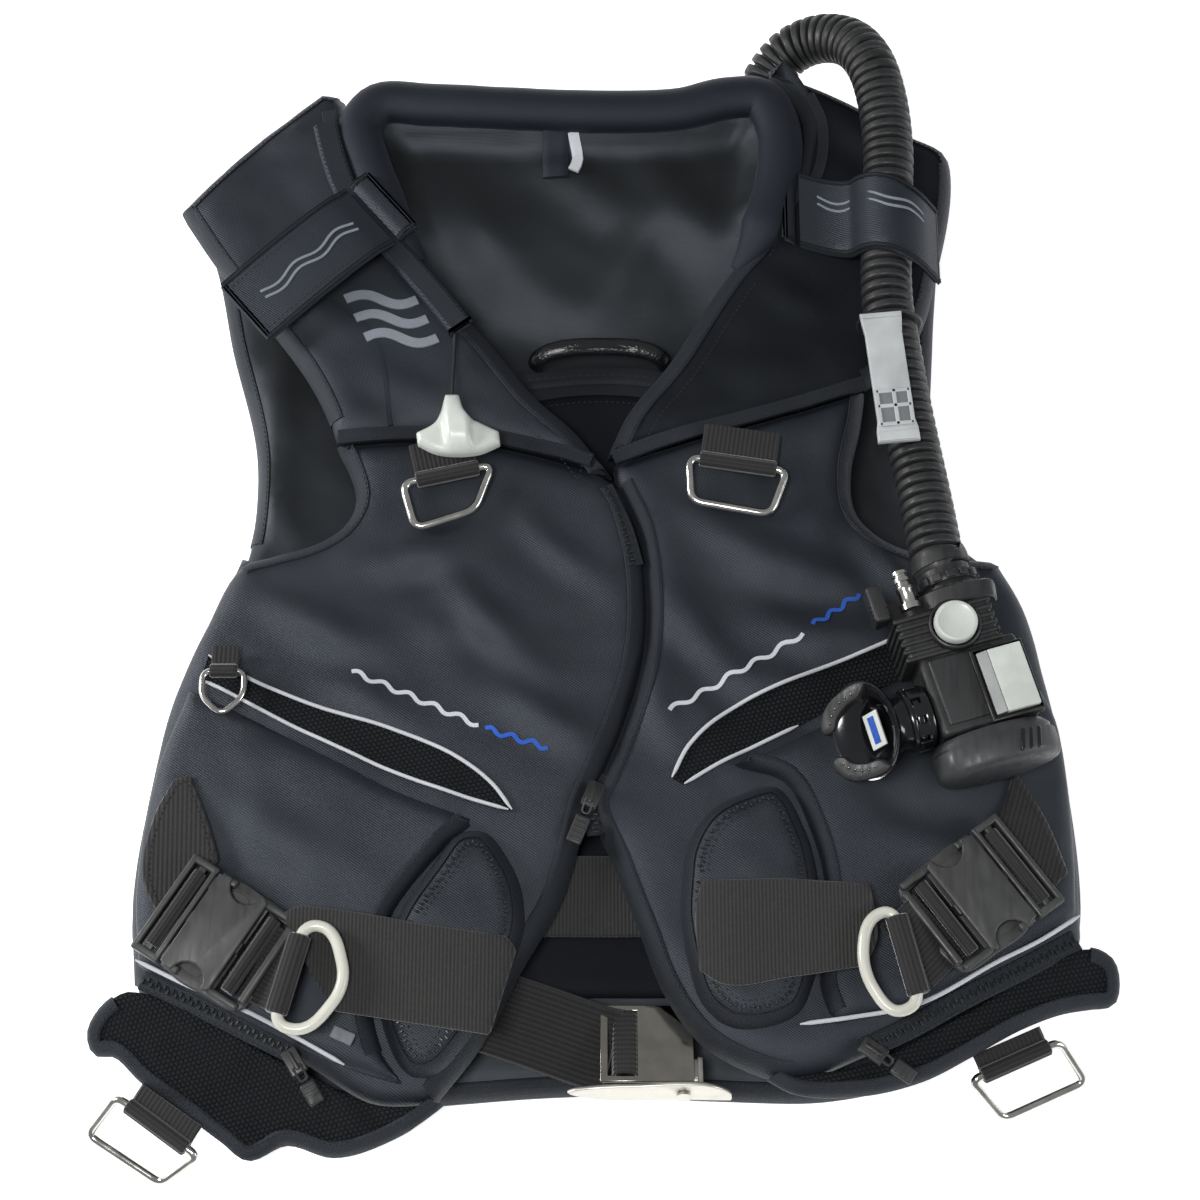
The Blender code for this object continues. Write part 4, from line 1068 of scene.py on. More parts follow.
def back_pad():
    outline = [
        (-92, -228), (92, -228), (98, -216), (98, -60), (88, 60), (74, 124), (50, 140), (-50, 140),
        (-74, 124), (-88, 60), (-98, -60), (-98, -216),
    ]

    def top(x, y):
        return 27.4 + rumple(x, y, 60.0, 0.8, 2.0) + 1.2 * np.exp(-((x / 60.0) ** 2))

    panel = Panel(outline, top, level(22.6), (9.0, 4.6), 7.0)
    # The lumbar pad takes the darker neoprene copy: painted shade inside the vest.
    panel_piece("lumbar_pad", panel, "pad", ["back_pad"])
    stitch(panel.follow(panel.stretch((98, -60), (-98, -60)), 7.0, 0.6))


def carry_handle():
    path = [(-40, 166, 27.0), (-38, 167, 33.0), (-30, 170, 37.0), (0, 173, 38.0), (30, 170, 37.0),
            (38, 167, 33.0), (40, 166, 27.0)]
    line = smooth_line(path, 2.0, corner=80)
    scale = [1.08 if abs(abs(x) - 22.5) < 1.0 else 1.0 for x in line[:, 0]]
    grip = sweep(line, round_profile(5.6, 4.4, 20), scale=scale)
    finish_mesh("carry_grip", grip, "grained", replaces=["carry_handle"])
    label = sweep([(-20, 172.0, 41.6), (0, 173.2, 42.2), (20, 172.0, 41.6)], flat_profile(6.0, 1.4))
    finish_mesh("carry_grip_panel", label, "gloss")
    line = smooth_line([(-46, 158), (0, 162), (46, 158)], 4.0)
    stitch(np.column_stack([line, back_top(line[:, 0], line[:, 1]) + 1.0]), 5.0, 3.4, 0.7)
    tape("carry_grip_base", [(-50, 158), (0, 163), (50, 158)], 15.0, back_top, 0.8)


def cummerbund():
    ribbon("waist_band", [(-212, -166, 39.5), (-110, -171, 39.5), (0, -173, 39.5), (110, -171, 39.5),
                          (212, -166, 39.5)], 47.0, 2.6, "elastic", replaces=["cummerbund"])


def neck_label():
    """A blank sewn-in label with its folded care tag."""
    surface = raised(back_top, 2.2)
    tape("neck_label", [(-28, 318), (-28, 288)], 16.0, surface, 1.0, "neoprene", sew=())
    tape("care_tag", [(-17, 316), (-14, 300), (-17, 292)], 7.0, surface, 0.9, "silver", sew=())


COLLAR_ROUTE = [
    (-112, 224, 51), (-120, 234, 53), (-128, 246, 54), (-136, 268, 54), (-145, 292, 54),
    (-151, 318, 54), (-140, 334, 54), (-108, 334, 54), (-50, 331, 54), (0, 329, 54), (50, 331, 54),
    (82, 339, 54), (102, 338, 54), (112, 318, 54), (113, 296, 54), (108, 268, 54), (100, 244, 54),
    (92, 230, 52), (84, 220, 50),
]


def collar():
    line = smooth_line(COLLAR_ROUTE, 4.0, corner=95)
    scale = []
    for index, (x, y, _) in enumerate(line):
        ends = min(1.0, 0.30 + 0.09 * min(index, len(line) - 1 - index))
        scale.append(ends * (1.0 + 0.035 * noise.noise(Vector((x / 26, y / 26, 1.0)))))
    roll = sweep(line, round_profile(14.0, 11.5, 26), scale=scale)
    roll = finish_mesh("collar_padding", roll, "neoprene", replaces=["collar_roll"])
    side = sides_of(line)
    for sign, reach in ((-1, 11.6), (1, 12.6)):
        spots = line[:, :2] + side * reach * sign
        stitch(np.column_stack([spots, line[:, 2] + 3.6])[4:-4], 3.2)


# --- front of the vest ----------------------------------------------------------------------------

NECK_LEFT = [(6, 82), (-15, 110), (-42, 136), (-73, 176), (-98, 204), (-116, 227)]
YOKE_LEFT = NECK_LEFT + [
    (-134, 250), (-148, 276), (-157, 300), (-162, 322), (-162, 342), (-176, 346), (-221, 308), (-262, 265),
    (-243, 235), (-222, 205), (-200, 180), (-176, 145), (-163, 118), (-159, 104), (-90, 108), (-24, 94),
]
YOKE_RIGHT = [
    (5, 94), (18, 123), (43, 156), (67, 196), (82, 219), (96, 236), (108, 256), (119, 279), (124, 300),
    (127, 324), (116, 350), (106, 362), (155, 340), (196, 315), (217, 304), (220, 293), (207, 216),
    (196, 180), (172, 150), (160, 141), (96, 120), (36, 102),
]
LOBE_LEFT = [
    (7, 77), (21, 44), (26, 0), (23, -37), (12, -74), (0, -104), (-7, -121), (-14, -149), (-23, -178),
    (-45, -217), (-66, -257), (-93, -292), (-124, -291), (-165, -268), (-262, -224), (-266, -169),
    (-258, -103), (-250, -60), (-232, -12), (-212, 26), (-196, 31), (-166, 40), (-152, 50), (-145, 66),
    (-150, 86), (-158, 101), (-90, 105), (-24, 91),
]
LOBE_RIGHT = [
    (9, 80), (23, 46), (28, 0), (25, -38), (14, -75), (2, -105), (-4, -120), (9, -157), (23, -194),
    (36, -228), (56, -256), (83, -272), (108, -278), (144, -266), (200, -238), (272, -201), (273, -152),
    (268, -85), (261, -46), (252, -4), (236, 28), (196, 32), (166, 42), (152, 58), (150, 86), (156, 112),
    (160, 137), (96, 117), (36, 99), (8, 90),
]
SIDE_LEFT = [
    (-214, 34), (-234, -20), (-251, -66), (-258, -110), (-266, -190), (-260, -222), (-238, -218),
    (-244, -190), (-236, -110), (-229, -66), (-212, -20), (-192, 28),
]
SIDE_RIGHT = [
    (238, 28), (252, -4), (262, -50), (270, -100), (274, -178), (270, -206), (246, -204), (250, -178),
    (248, -100), (240, -50), (230, -4), (216, 24),
]
LOBE_FALL = (15.0, 11.0)


def yokes():
    left = Panel(YOKE_LEFT, front, level(LOBE_LOW), LOBE_FALL)
    right = Panel(YOKE_RIGHT, front, level(LOBE_LOW), LOBE_FALL)
    panel_piece("yoke_l", left, "nylon", ["shoulder_yoke_l"])
    # The right yoke takes the darker nylon copy: painted shade.
    panel_piece("yoke_r", right, "deep", ["shoulder_yoke_r"])
    bind("neck_tape_l", left, (6, 82), (-134, 250), 11.0)
    stitch(left.follow(left.stretch((6, 82), (-116, 227)), 19.0, 0.35))
    bind("arm_tape_l", left, (-262, 265), (-163, 118), 8.0)
    bind("shoulder_tape_l", left, (-164, 342), (-262, 265), 7.0)
    bind("neck_tape_r", right, (106, 362), (5, 94), 10.0)
    stitch(right.follow(right.stretch((82, 219), (5, 94)), 18.0, 0.35))
    bind("arm_tape_r", right, (160, 141), (220, 293), 8.0)
    bind("shoulder_tape_r", right, (220, 293), (110, 360), 6.0)
    tape("yoke_seam_l", [(-157, 104), (-90, 108), (-24, 95), (-5, 89)], 9.0, front, 1.2, sew=(0.55,))
    tape("yoke_seam_r", [(8, 91), (36, 102), (96, 120), (160, 140)], 9.0, front, 1.2, sew=(0.55,))
    tape("collar_seam_l", [(-150, 258), (-160, 284), (-168, 308), (-171, 328)], 9.0, front, 1.4)
    tape("collar_seam_r", [(126, 262), (138, 290), (140, 318), (132, 340)], 7.0, front, 1.0)
    tape("emblem_seam_l", [(-176, 206), (-138, 170), (-126, 112)], 3.0, front, 0.5, sew=())


def lobes():
    left = Panel(LOBE_LEFT, front, level(LOBE_LOW), LOBE_FALL)
    right = Panel(LOBE_RIGHT, front, level(LOBE_LOW), LOBE_FALL)
    panel_piece("lobe_l", left, "nylon", ["front_lobe_l"])
    panel_piece("lobe_r", right, "nylon", ["front_lobe_r"])
    bind("front_tape_l", left, (-90, -290), (7, 77), 10.0)
    bind("front_tape_r", right, (10, 76), (108, -278), 9.0)
    bind("armhole_tape_l", left, (-158, 101), (-212, 26), 8.0)
    bind("armhole_tape_r", right, (236, 28), (160, 137), 8.0)
    for side, outline in (("l", SIDE_LEFT), ("r", SIDE_RIGHT)):
        panel = Panel(outline, level(41.4), level(22.6), (7.0, 7.0), 6.0)
        panel_piece(f"side_{side}", panel, "nylon", [f"side_panel_{side}"])
    zip_run("main_zip_upper", [(2, 72), (14, 44), (20, 22)], lifted(-2.4), 1.6, 12.0)
    zip_run("main_zip_lower", [(6, -106), (-3, -124), (-2, -140)], lifted(-6.0), 1.6, 11.0)


# --- pockets, piping and mesh ---------------------------------------------------------------------

POCKET_LEFT = [
    (-238, -54), (-195, -76), (-154, -97), (-113, -118), (-72, -133), (-90, -150), (-118, -188),
    (-128, -226), (-122, -262), (-108, -282), (-136, -274), (-258, -216), (-262, -169), (-254, -103),
]
POCKET_RIGHT = [
    (78, -101), (114, -84), (140, -71), (175, -56), (225, -42), (250, -44), (263, -70), (268, -110),
    (269, -150), (268, -188), (222, -213), (177, -238), (130, -249), (123, -226), (128, -195),
    (127, -166), (121, -140), (106, -110),
]
POUCH_LEFT = [
    (-112, -190), (-92, -158), (-80, -142), (-66, -141), (-54, -155), (-46, -172), (-44, -197), (-60, -235),
    (-76, -260), (-92, -276), (-104, -276), (-117, -256), (-122, -226),
]
POUCH_RIGHT = [
    (47, -170), (50, -150), (62, -130), (84, -118), (100, -115), (116, -142), (121, -166), (122, -195),
    (117, -226), (108, -243), (74, -250), (58, -238), (50, -215), (46, -190),
]


def pouch_top(side):
    """A pouch bulges over its middle."""
    x_middle, y_middle = (-84, -208) if side == "l" else (84, -184)

    def top(x, y):
        bulge = np.exp(-(((x - x_middle) / 34) ** 2 + ((y - y_middle) / 60) ** 2))
        return front(x, y) + 11.6 + 2.6 * bulge

    return top


def pockets():
    for side, outline, lip in (
        ("l", POCKET_LEFT, ((-122, -262), (-76, -134))),
        ("r", POCKET_RIGHT, ((80, -102), (128, -244))),
    ):
        panel = Panel(outline, lifted(8.0), lifted(1.0), (11.0, 6.5))
        panel_piece(f"cargo_pocket_{side}", panel, "nylon", [f"pocket_{side}"])
        bind(f"pocket_lip_{side}", panel, *lip, 8.0)
    for side, outline in (("l", POUCH_LEFT), ("r", POUCH_RIGHT)):
        panel = Panel(outline, pouch_top(side), lifted(1.2), (13.0, 11.0), 5.0, 130.0)
        panel_piece(f"pouch_{side}", panel, "nylon", [f"weight_pouch_{side}"])
        bind(f"pouch_tape_{side}", panel, outline[0], outline[0], 5.0, closed=True, sew=False)
        whole = panel.stretch(outline[0], outline[0])
        zip_teeth(f"pouch_zip_{side}", panel.follow(whole, 8.5, 0.8), 2.6, (1.3, 2.4, 1.2), 0.7)
        stitch(panel.follow(whole, 12.5, 0.5), 3.6)


UPPER_PIPING_L = [(-228, -33), (-207, -46), (-172, -62), (-120, -79), (-85, -94), (-62, -111), (-50, -127)]
UPPER_PIPING_R = [(41, -108), (51, -89), (74, -68), (115, -48), (162, -29), (186, -18)]
LOW_EDGE_L = [(-232, -48), (-221, -53), (-195, -68), (-154, -88), (-113, -107), (-76, -120), (-52, -127)]
LOW_EDGE_R = [(48, -112), (66, -101), (88, -90), (114, -77), (140, -64), (175, -49), (222, -36)]
ZIP_LEFT = [(-256, -222), (-226, -236), (-196, -251), (-165, -266)]
ZIP_RIGHT = [(268, -200), (236, -217), (200, -235), (172, -250), (146, -262)]
LOW_PIPING_L = [(-259, -213), (-226, -229), (-190, -245), (-158, -262), (-140, -272)]
LOW_PIPING_R = [(270, -187), (246, -202), (222, -214), (177, -238), (140, -246), (110, -250)]


def trim():
    between("pocket_mesh_l", UPPER_PIPING_L, LOW_EDGE_L, front, 1.2, "mesh")
    between("pocket_mesh_r", UPPER_PIPING_R, LOW_EDGE_R, front, 1.2, "mesh")
    piping("upper_piping_l", UPPER_PIPING_L, lifted(1.4))
    piping("upper_piping_r", UPPER_PIPING_R, lifted(1.4))
    piping("mesh_piping_l", LOW_EDGE_L, lifted(1.8), 1.0)
    piping("mesh_piping_r", LOW_EDGE_R[:4], lifted(1.8), 1.0)
    piping("low_piping_l", LOW_PIPING_L, lifted(6.4), 1.1)
    piping("low_piping_r", LOW_PIPING_R, lifted(5.6), 1.1)
    zip_run("pocket_zip_l", ZIP_LEFT, lifted(-1.4), 1.2, 12.0)
    zip_run("pocket_zip_r", ZIP_RIGHT, lifted(-0.4), 1.2, 12.0)


SKIRT_LEFT = [
    (-264, -229), (-166, -273), (-122, -292), (-86, -291), (-108, -306), (-147, -317), (-175, -310),
    (-196, -318), (-209, -309), (-234, -291), (-257, -275), (-273, -261), (-284, -260), (-287, -250),
    (-282, -240), (-272, -232),
]
SKIRT_RIGHT = [
    (144, -270), (200, -243), (274, -205), (288, -210), (292, -220), (290, -232), (276, -235),
    (260, -238), (232, -249), (208, -262), (180, -276), (143, -285), (108, -285), (92, -277),
]


def skirt_top(x, y):
    zip_y = np.where(x < 0, -226.0 - 0.45 * (x + 262.0), -268.0 + 0.508 * (x - 144.0))
    fall = np.clip((zip_y - 4.0 - y) / 45.0, 0.0, 1.0)
    return 49.0 - 22.0 * fall + rumple(x, y, 18.0, 1.6, 9.0)


def skirts():
    for side, outline, start, stop in (
        ("l", SKIRT_LEFT, (-272, -232), (-86, -291)),
        ("r", SKIRT_RIGHT, (92, -277), (276, -206)),
    ):
        panel = Panel(outline, skirt_top, raised(skirt_top, -3.4), (4.0, 2.0), 5.0, 100.0)
        obj = panel_piece(f"mesh_pocket_{side}", panel, "mesh", [f"mesh_skirt_{side}"])
        bind(f"skirt_tape_{side}", panel, start, stop, 7.0)


# --- straps, buckles and pull rings ---------------------------------------------------------------


def band_map(obj, along, across):
    """Gives a flat piece the band UV map: metres along and across it, from two directions in plan."""
    layer = obj.data.uv_layers.new(name="band")
    for loop in obj.data.loops:
        x, y, _ = obj.data.vertices[loop.vertex_index].co
        layer.data[loop.index].uv = (x * along[0] + y * along[1], x * across[0] + y * across[1])


STRAP_LEFT = [
    (-176, -191), (-168, -187), (-158, -187), (-100, -196), (-52, -203), (-46, -210), (-60, -258),
    (-100, -252), (-146, -245), (-160, -222),
]
STRAP_RIGHT = [
    (56, -172), (53, -190), (55, -222), (68, -230), (106, -226), (146, -220), (153, -205), (150, -174),
    (100, -171),
]


def strap_top(edge, sign):
    """A strap bends down to the vest where it ends, near x = edge."""
    def top(x, y):
        over = np.clip(((x - edge) * sign + 22) / 30, 0, 1)
        return 75.4 - 5.0 * over**2 + rumple(x, y, 30.0, 0.7, 2.0)

    return top


def pouch_straps():
    for side, outline, top, lean in (
        ("l", STRAP_LEFT, strap_top(-52, 1), 0.14),
        ("r", STRAP_RIGHT, strap_top(58, -1), 0.02),
    ):
        panel = Panel(outline, top, raised(top, -2.2), (1.2, 0.9), 4.0, 40.0)
        obj = finish_mesh(f"pouch_band_{side}", panel.mesh(), "elastic", replaces=[f"pouch_strap_{side}"])
        band_map(obj, (1.0, 0.0), (lean, 1.0))


BUCKLES = {
    "l": {"centre": (-204.0, -207.0, 72.0), "turn": math.radians(148)},
    "r": {"centre": (203.0, -185.0, 72.0), "turn": math.radians(36)},
}


def pouch_tab():
    """The small pale tab that shows below the left pouch band."""
    tab = box((13.0, 7.0, 2.2), (0, 0, 0), 1.0)
    placed = Matrix.Translation((-141.0, -257.0, 66.0)) @ Matrix.Rotation(math.radians(-24), 4, "Z")
    finish_mesh("pouch_pull_tab", tab, "shade", placed=placed)


def arc(centre, radius, start, stop, steps=8):
    angles = [math.radians(start + (stop - start) * k / steps) for k in range(steps + 1)]
    return [(centre[0] + radius * math.cos(a), centre[1] + radius * math.sin(a)) for a in angles]


def buckle_frame(side):
    """A buckle's own frame: +X points out of its mouth."""
    spec = BUCKLES[side]
    return Matrix.Translation(Vector(spec["centre"])) @ Matrix.Rotation(spec["turn"], 4, "Z")


def buckle_socket(side):
    placed = buckle_frame(side)
    shield = [(26.5, 28.5), (20, 30.5)] + arc((8.5, 30.5), 10.0, 358, 182) + [(-3, 30.5), (-6, 28)]
    shield += [(-6, -28), (-3, -30.5)] + arc((8.5, -30.5), 10.0, 178, 2) + [(20, -30.5), (26.5, -28.5)]
    rim = [(25, 27), (20, 31), (-2, 31.5), (-24, 29), (-26.6, 24), (-26.6, -24), (-24, -29), (-2, -31.5),
           (20, -31), (25, -27)]
    slot = [(-21, 24.5), (-7, 26), (-7, -26), (-21, -24.5)]
    parts = [plate([smooth_line(rim, 2.5, True, 80), slot], 4.2, -3.4, 1.0), plate([shield], 3.0, 4.3, 1.1)]
    parts += [box((10.0, 4.6, 9.4), (20.0, sign * 28.4, -0.6), 1.4) for sign in (-1, 1)]
    parts += [box((5.0, 50.0, 6.0), (-24.0, 0, 0.4), 2.0)]
    parts += [box((20.0, 4.4, 6.4), (-14.0, sign * 28.0, 0.2), 1.8) for sign in (-1, 1)]
    finish_mesh(f"socket_{side}", joined(parts), "plastic", replaces=[f"buckle_socket_{side}"],
                placed=placed)
    bm = turned([(0, -23.5), (5.2, -23.5), (5.6, -22.5), (5.6, 22.5), (5.2, 23.5), (0, 23.5)],
                (-13.8, 0, 0.6), "Y", 24, (0.72, 1.0))
    finish_mesh(f"socket_webbing_{side}", ribs_along(bm), "loop", placed=placed)


def buckle_plug(side):
    placed = buckle_frame(side)
    node = f"buckle_plug_{side}"
    tip = Panel([(2, 20), (16, 21), (18, 25), (11, 27), (4, 26)], level(-0.6), level(-4.0), (2.5, 1.8), 1.6)
    parts = []
    for sign in (-1, 1):
        prong = tip.mesh()
        prong.transform(Matrix.Diagonal((1, sign, 1, 1)))
        parts.append(prong)
    parts += [box((3.4, 62.0, 8.4), (mouth, 0, 0), 1.4) for mouth in (29.4, 43.6)]
    parts += [box((17.0, 4.4, 8.4), (36.4, sign * 28.8, 0), 1.5) for sign in (-1, 1)]
    parts += [box((4.6, 56.0, 4.0), (36.5, 0, 0.6), 1.4), box((38.0, 7.5, 4.6), (12.0, 0, 0), 1.2)]
    parts += [box((10.0, 9.0, 5.0), (26.0, sign * 22.5, 0), 1.2) for sign in (-1, 1)]
    finish_mesh(f"plug_{side}", joined(parts), "plastic", body=node, replaces=[node], placed=placed)
    bm = turned([(0, -24), (3.6, -24), (4.0, -23), (4.0, 23), (3.6, 24), (0, 24)], (36.5, 0, 1.2), "Y", 20)
    finish_mesh(f"plug_webbing_{side}", ribs_along(bm), "loop", body=node, placed=placed)


def ribs_along(bm):
    """Gives a turned sleeve the band UV map: along its axis, and round it."""
    layer = bm.loops.layers.uv.new("band")
    for face in bm.faces:
        for loop in face.loops:
            spot = loop.vert.co
            loop[layer].uv = (spot.y * MM, spot.x * 1.4 * MM + spot.z * 0.4 * MM)
    return bm


def rounded_loop(corners, radius, steps=8):
    """The closed path through the corners, each rounded off."""
    path = []
    count = len(corners)
    for index, corner in enumerate(corners):
        corner = Vector(corner)
        before = Vector(corners[index - 1]) - corner
        after = Vector(corners[(index + 1) % count]) - corner
        start = corner + before.normalized() * min(radius, before.length / 2.1)
        stop = corner + after.normalized() * min(radius, after.length / 2.1)
        for step in range(steps + 1):
            t = step / steps
            path.append(start * (1 - t) ** 2 + corner * 2 * t * (1 - t) + stop * t**2)
    return path


IVORY_RINGS = {
    "l": [(-163.0, -198.0, 81.0), (-146.0, -201.0, 81.0), (-138.0, -232.0, 81.0), (-158.0, -258.0, 81.0),
          (-178.0, -254.0, 81.0)],
    "r": [(162.0, -189.0, 81.0), (146.0, -196.0, 81.0), (143.0, -224.0, 81.0), (158.0, -249.0, 81.0),
          (175.0, -242.0, 81.0)],
}


def closed_wire(name, corners, radius, corner_radius, finish, node):
    """A ring of bent wire, which is a body of its own."""
    loop = rounded_loop(corners, corner_radius)
    bm = sweep(even_line(loop + loop[:1], 1.6)[:-1], round_profile(radius, radius, 16), True)
    finish_mesh(name, bm, finish, body=node, replaces=[node])


def sleeve(name, start, stop, wide, high, length, replaces=()):
    """Webbing wrapped round a bar: a flattened sleeve, narrower at its ends."""
    start, stop = Vector(start), Vector(stop)
    along = (stop - start).normalized()
    half = length / 2
    inner = np.linspace(0.8 - half, half - 0.8, 9)
    line = [(start + stop) / 2 + along * reach for reach in (-half, *inner, half)]
    scale = [0.82] + [1.0] * len(inner) + [0.82]
    bm = sweep(line, round_profile(wide, high, 22), scale=scale)
    finish_mesh(name, bm, "loop", replaces=replaces)


def folded_webbing(name, path, wide, thick, across):
    """Webbing along a path, with its width along the direction across."""
    bm = sweep(smooth_line(path, 3.0), [(v, u) for u, v in flat_profile(wide, thick)], up=across)
    finish_mesh(name, bm, "loop")


def ivory_rings():
    for side, corners in IVORY_RINGS.items():
        closed_wire(f"ivory_ring_{side}", corners, 3.3, 13.0, "ivory", f"handle_ring_{side}")
        sleeve(f"ivory_loop_{side}", corners[0], corners[-1], 6.6, 5.2, 45.0)
        start, stop = Vector(corners[0]), Vector(corners[-1])
        middle = (start + stop) / 2
        anchor = buckle_frame(side) @ Vector((-18.0, 0, -2.0))
        path = [middle + Vector((0, 0, -4.6)), (middle + anchor) / 2 + Vector((0, 0, -3.4)), anchor]
        folded_webbing(f"ring_webbing_{side}", path, 44.0, 2.0, (stop - start).normalized())


STEEL_RINGS = {
    "chest_{}_l": [(-117.0, 71.0, 64.2), (-64.0, 83.0, 64.2), (-74.0, 55.0, 61.6), (-109.0, 43.0, 61.6)],
    "chest_{}_r": [(53.0, 88.0, 64.2), (111.0, 79.0, 64.2), (101.0, 52.0, 61.6), (54.0, 61.0, 61.6)],
    "hem_{}_l": [(-270.0, -284.0, 25.0), (-223.0, -317.0, 25.0), (-246.0, -329.0, 4.0),
                 (-289.0, -302.0, 4.0)],
    "hem_{}_r": [(208.0, -275.0, 25.0), (259.0, -253.0, 25.0), (276.0, -272.0, 4.0), (228.0, -293.0, 4.0)],
}
TAB_TAILS = {
    "chest_{}_l": ((-0.22, 0.97, 0.0), 24.0, 38.0), "chest_{}_r": ((0.15, 0.99, 0.0), 24.0, 46.0),
    "hem_{}_l": ((0.40, 0.60, 0.25), 15.0, 42.0), "hem_{}_r": ((-0.30, 0.70, 0.25), 13.0, 42.0),
}


def steel_rings():
    for pattern, corners in STEEL_RINGS.items():
        ring, tab = pattern.format("ring"), pattern.format("tab")
        radius = 7.0 if ring.startswith("chest") else 6.0
        closed_wire(f"steel_{ring}", corners, 2.5, radius, "steel", ring)
        tail, reach, wide = TAB_TAILS[pattern]
        start, stop = Vector(corners[0]), Vector(corners[1])
        sleeve(f"{tab}_fold", start, stop, 4.9, 4.9, wide, [tab])
        away = Vector(tail).normalized()
        path = [(start + stop) / 2 + away * far - Vector((0, 0, drop))
                for far, drop in ((1.0, 3.4), (reach * 0.5, 2.6), (reach, 3.6))]
        folded_webbing(f"{tab}_webbing", path, wide, 3.0, (stop - start).normalized())
    bow = [(-229.0, -46.0, 64.2), (-205.0, -46.0, 64.2), (-205.0, -62.0, 64.6), (-217.0, -73.0, 65.0),
           (-229.0, -62.0, 64.6)]
    closed_wire("small_ring", bow, 1.8, 6.0, "steel", "pocket_ring")
    sleeve("small_ring_fold", bow[0], bow[1], 4.2, 4.0, 16.0, ["pocket_tab"])
    ribbon("small_ring_tab", [(-217, -43, 61.5), (-217, -30, 60.5)], 16.0, 2.2, "loop", 3.0)


ANCHORS = {
    # where the webbing ends on the vest, and its outline there
    "l": ((-240.0, -118.0, 62.0), [(-233, -108), (-222, -134), (-214, -158), (-224, -176), (-240, -200),
                                   (-256, -168), (-252, -130), (-243, -110)]),
    "r": ((246.0, -126.0, 60.0), [(236, -104), (228, -128), (222, -136), (238, -170), (250, -178),
                                  (262, -166), (252, -132)]),
}


def slope(near, far):
    """A surface that runs from near to far, and stays clear of the front."""
    span = far - near

    def top(x, y):
        t = np.clip(((x - near.x) * span.x + (y - near.y) * span.y) / (span.x**2 + span.y**2), 0, 1)
        return np.maximum(near.z * (1 - t) + (front_base(x, y) + 9.6) * t, front_base(x, y) + 9.2)

    return top


def side_webbing():
    """The webbing from each buckle plug to its anchor at the side of the vest."""
    for side, (end, outline) in ANCHORS.items():
        near, far = buckle_frame(side) @ Vector((38.0, 0, -2.0)), Vector(end)
        top = slope(near, far)
        panel = Panel(outline, top, raised(top, -2.0), (1.5, 1.0), 4.0, 45.0)
        obj = finish_mesh(f"anchor_webbing_{side}", panel.mesh(), "loop")
        way = (far - near).normalized()
        band_map(obj, (way.x, way.y), (-way.y, way.x))
        stitch(panel.follow(panel.stretch(outline[0], outline[0]), 3.5, 0.5))
        obj.parent = None
        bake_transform(obj)


# --- shoulder flaps -------------------------------------------------------------------------------

FLAP_THICK = 3.2


def flap(side, rise, wide, placed, motif_at):
    """A padded flap: a bound strip with stitching along its edges and two embroidered waves."""
    node = f"shoulder_flap_{side}"
    line = smooth_line([(d, 0, h + FLAP_THICK / 2) for d, h in rise], 3.0, corner=80)
    top = [Vector((x, 0, z + FLAP_THICK / 2)) for x, _, z in line]
    bm = sweep(line, flat_profile(wide, FLAP_THICK, FLAP_THICK * 0.48))
    finish_mesh(f"flap_{side}", bm, "nylon", body=node, replaces=[node], placed=placed)
    edge = flat_profile(4.6, FLAP_THICK + 1.1)
    edges = [sweep(line + (0, sign * (wide / 2 - 1.2), 0), edge) for sign in (-1, 1)]
    edges.append(sweep([line[-1] + (-1.0, y, 0) for y in (-wide / 2 + 1, 0, wide / 2 - 1)], edge))
    finish_mesh(f"flap_{side}_tape", joined(edges), "binding", body=node, placed=placed)
    threads = [thread_run([spot + Vector((0, offset, 0.2)) for spot in top])
               for offset in (-wide / 2 + 6.0, wide / 2 - 6.0)]
    finish_mesh(f"flap_{side}_stitching", joined(threads), "thread", body=node, placed=placed)
    bars = []
    for shift in motif_at:
        wave = [spot + Vector((0, 1.8 * math.sin(spot.x / 5.0) + shift, 0.25)) for spot in top[4:-5]]
        bars.append(sweep(wave, flat_profile(1.8, 0.8)))
    finish_mesh(f"flap_{side}_embroidery", joined(bars), "motif", body=node, placed=placed)


def flap_root(side, run, wide, placed):
    """The end of a flap that is sewn to the yoke and stays with it."""
    root = [Vector((d, 0, h)) for d, h in run]
    edge = flat_profile(4.6, FLAP_THICK + 1.1)
    rims = (1.2 - wide / 2, wide / 2 - 1.2)
    edges = [sweep([spot + Vector((0, y, 0)) for spot in root], edge) for y in rims]
    edges.append(sweep([root[0] + Vector((0, y, 0)) for y in (-wide / 2 + 1, 0, wide / 2 - 1)], edge))
    cloth = sweep(root, flat_profile(wide, FLAP_THICK, 1.5))
    finish_mesh(f"flap_{side}_root", cloth, "nylon", placed=placed)
    finish_mesh(f"flap_{side}_root_tape", joined(edges), "binding", placed=placed)


def thread_run(line):
    """A run of stitches along a flap, in the flap's own frame."""
    bm = bmesh.new()
    for middle, ahead in zip(*steps_along(line, STITCH_PITCH)):
        half = ahead * STITCH_LONG / 2
        side = Vector((0, 1, 0)) * STITCH_WIDE
        rise = ahead.cross(side).normalized() * STITCH_WIDE
        add_stitch(bm, middle - half, middle + half, side, rise)
    return bm


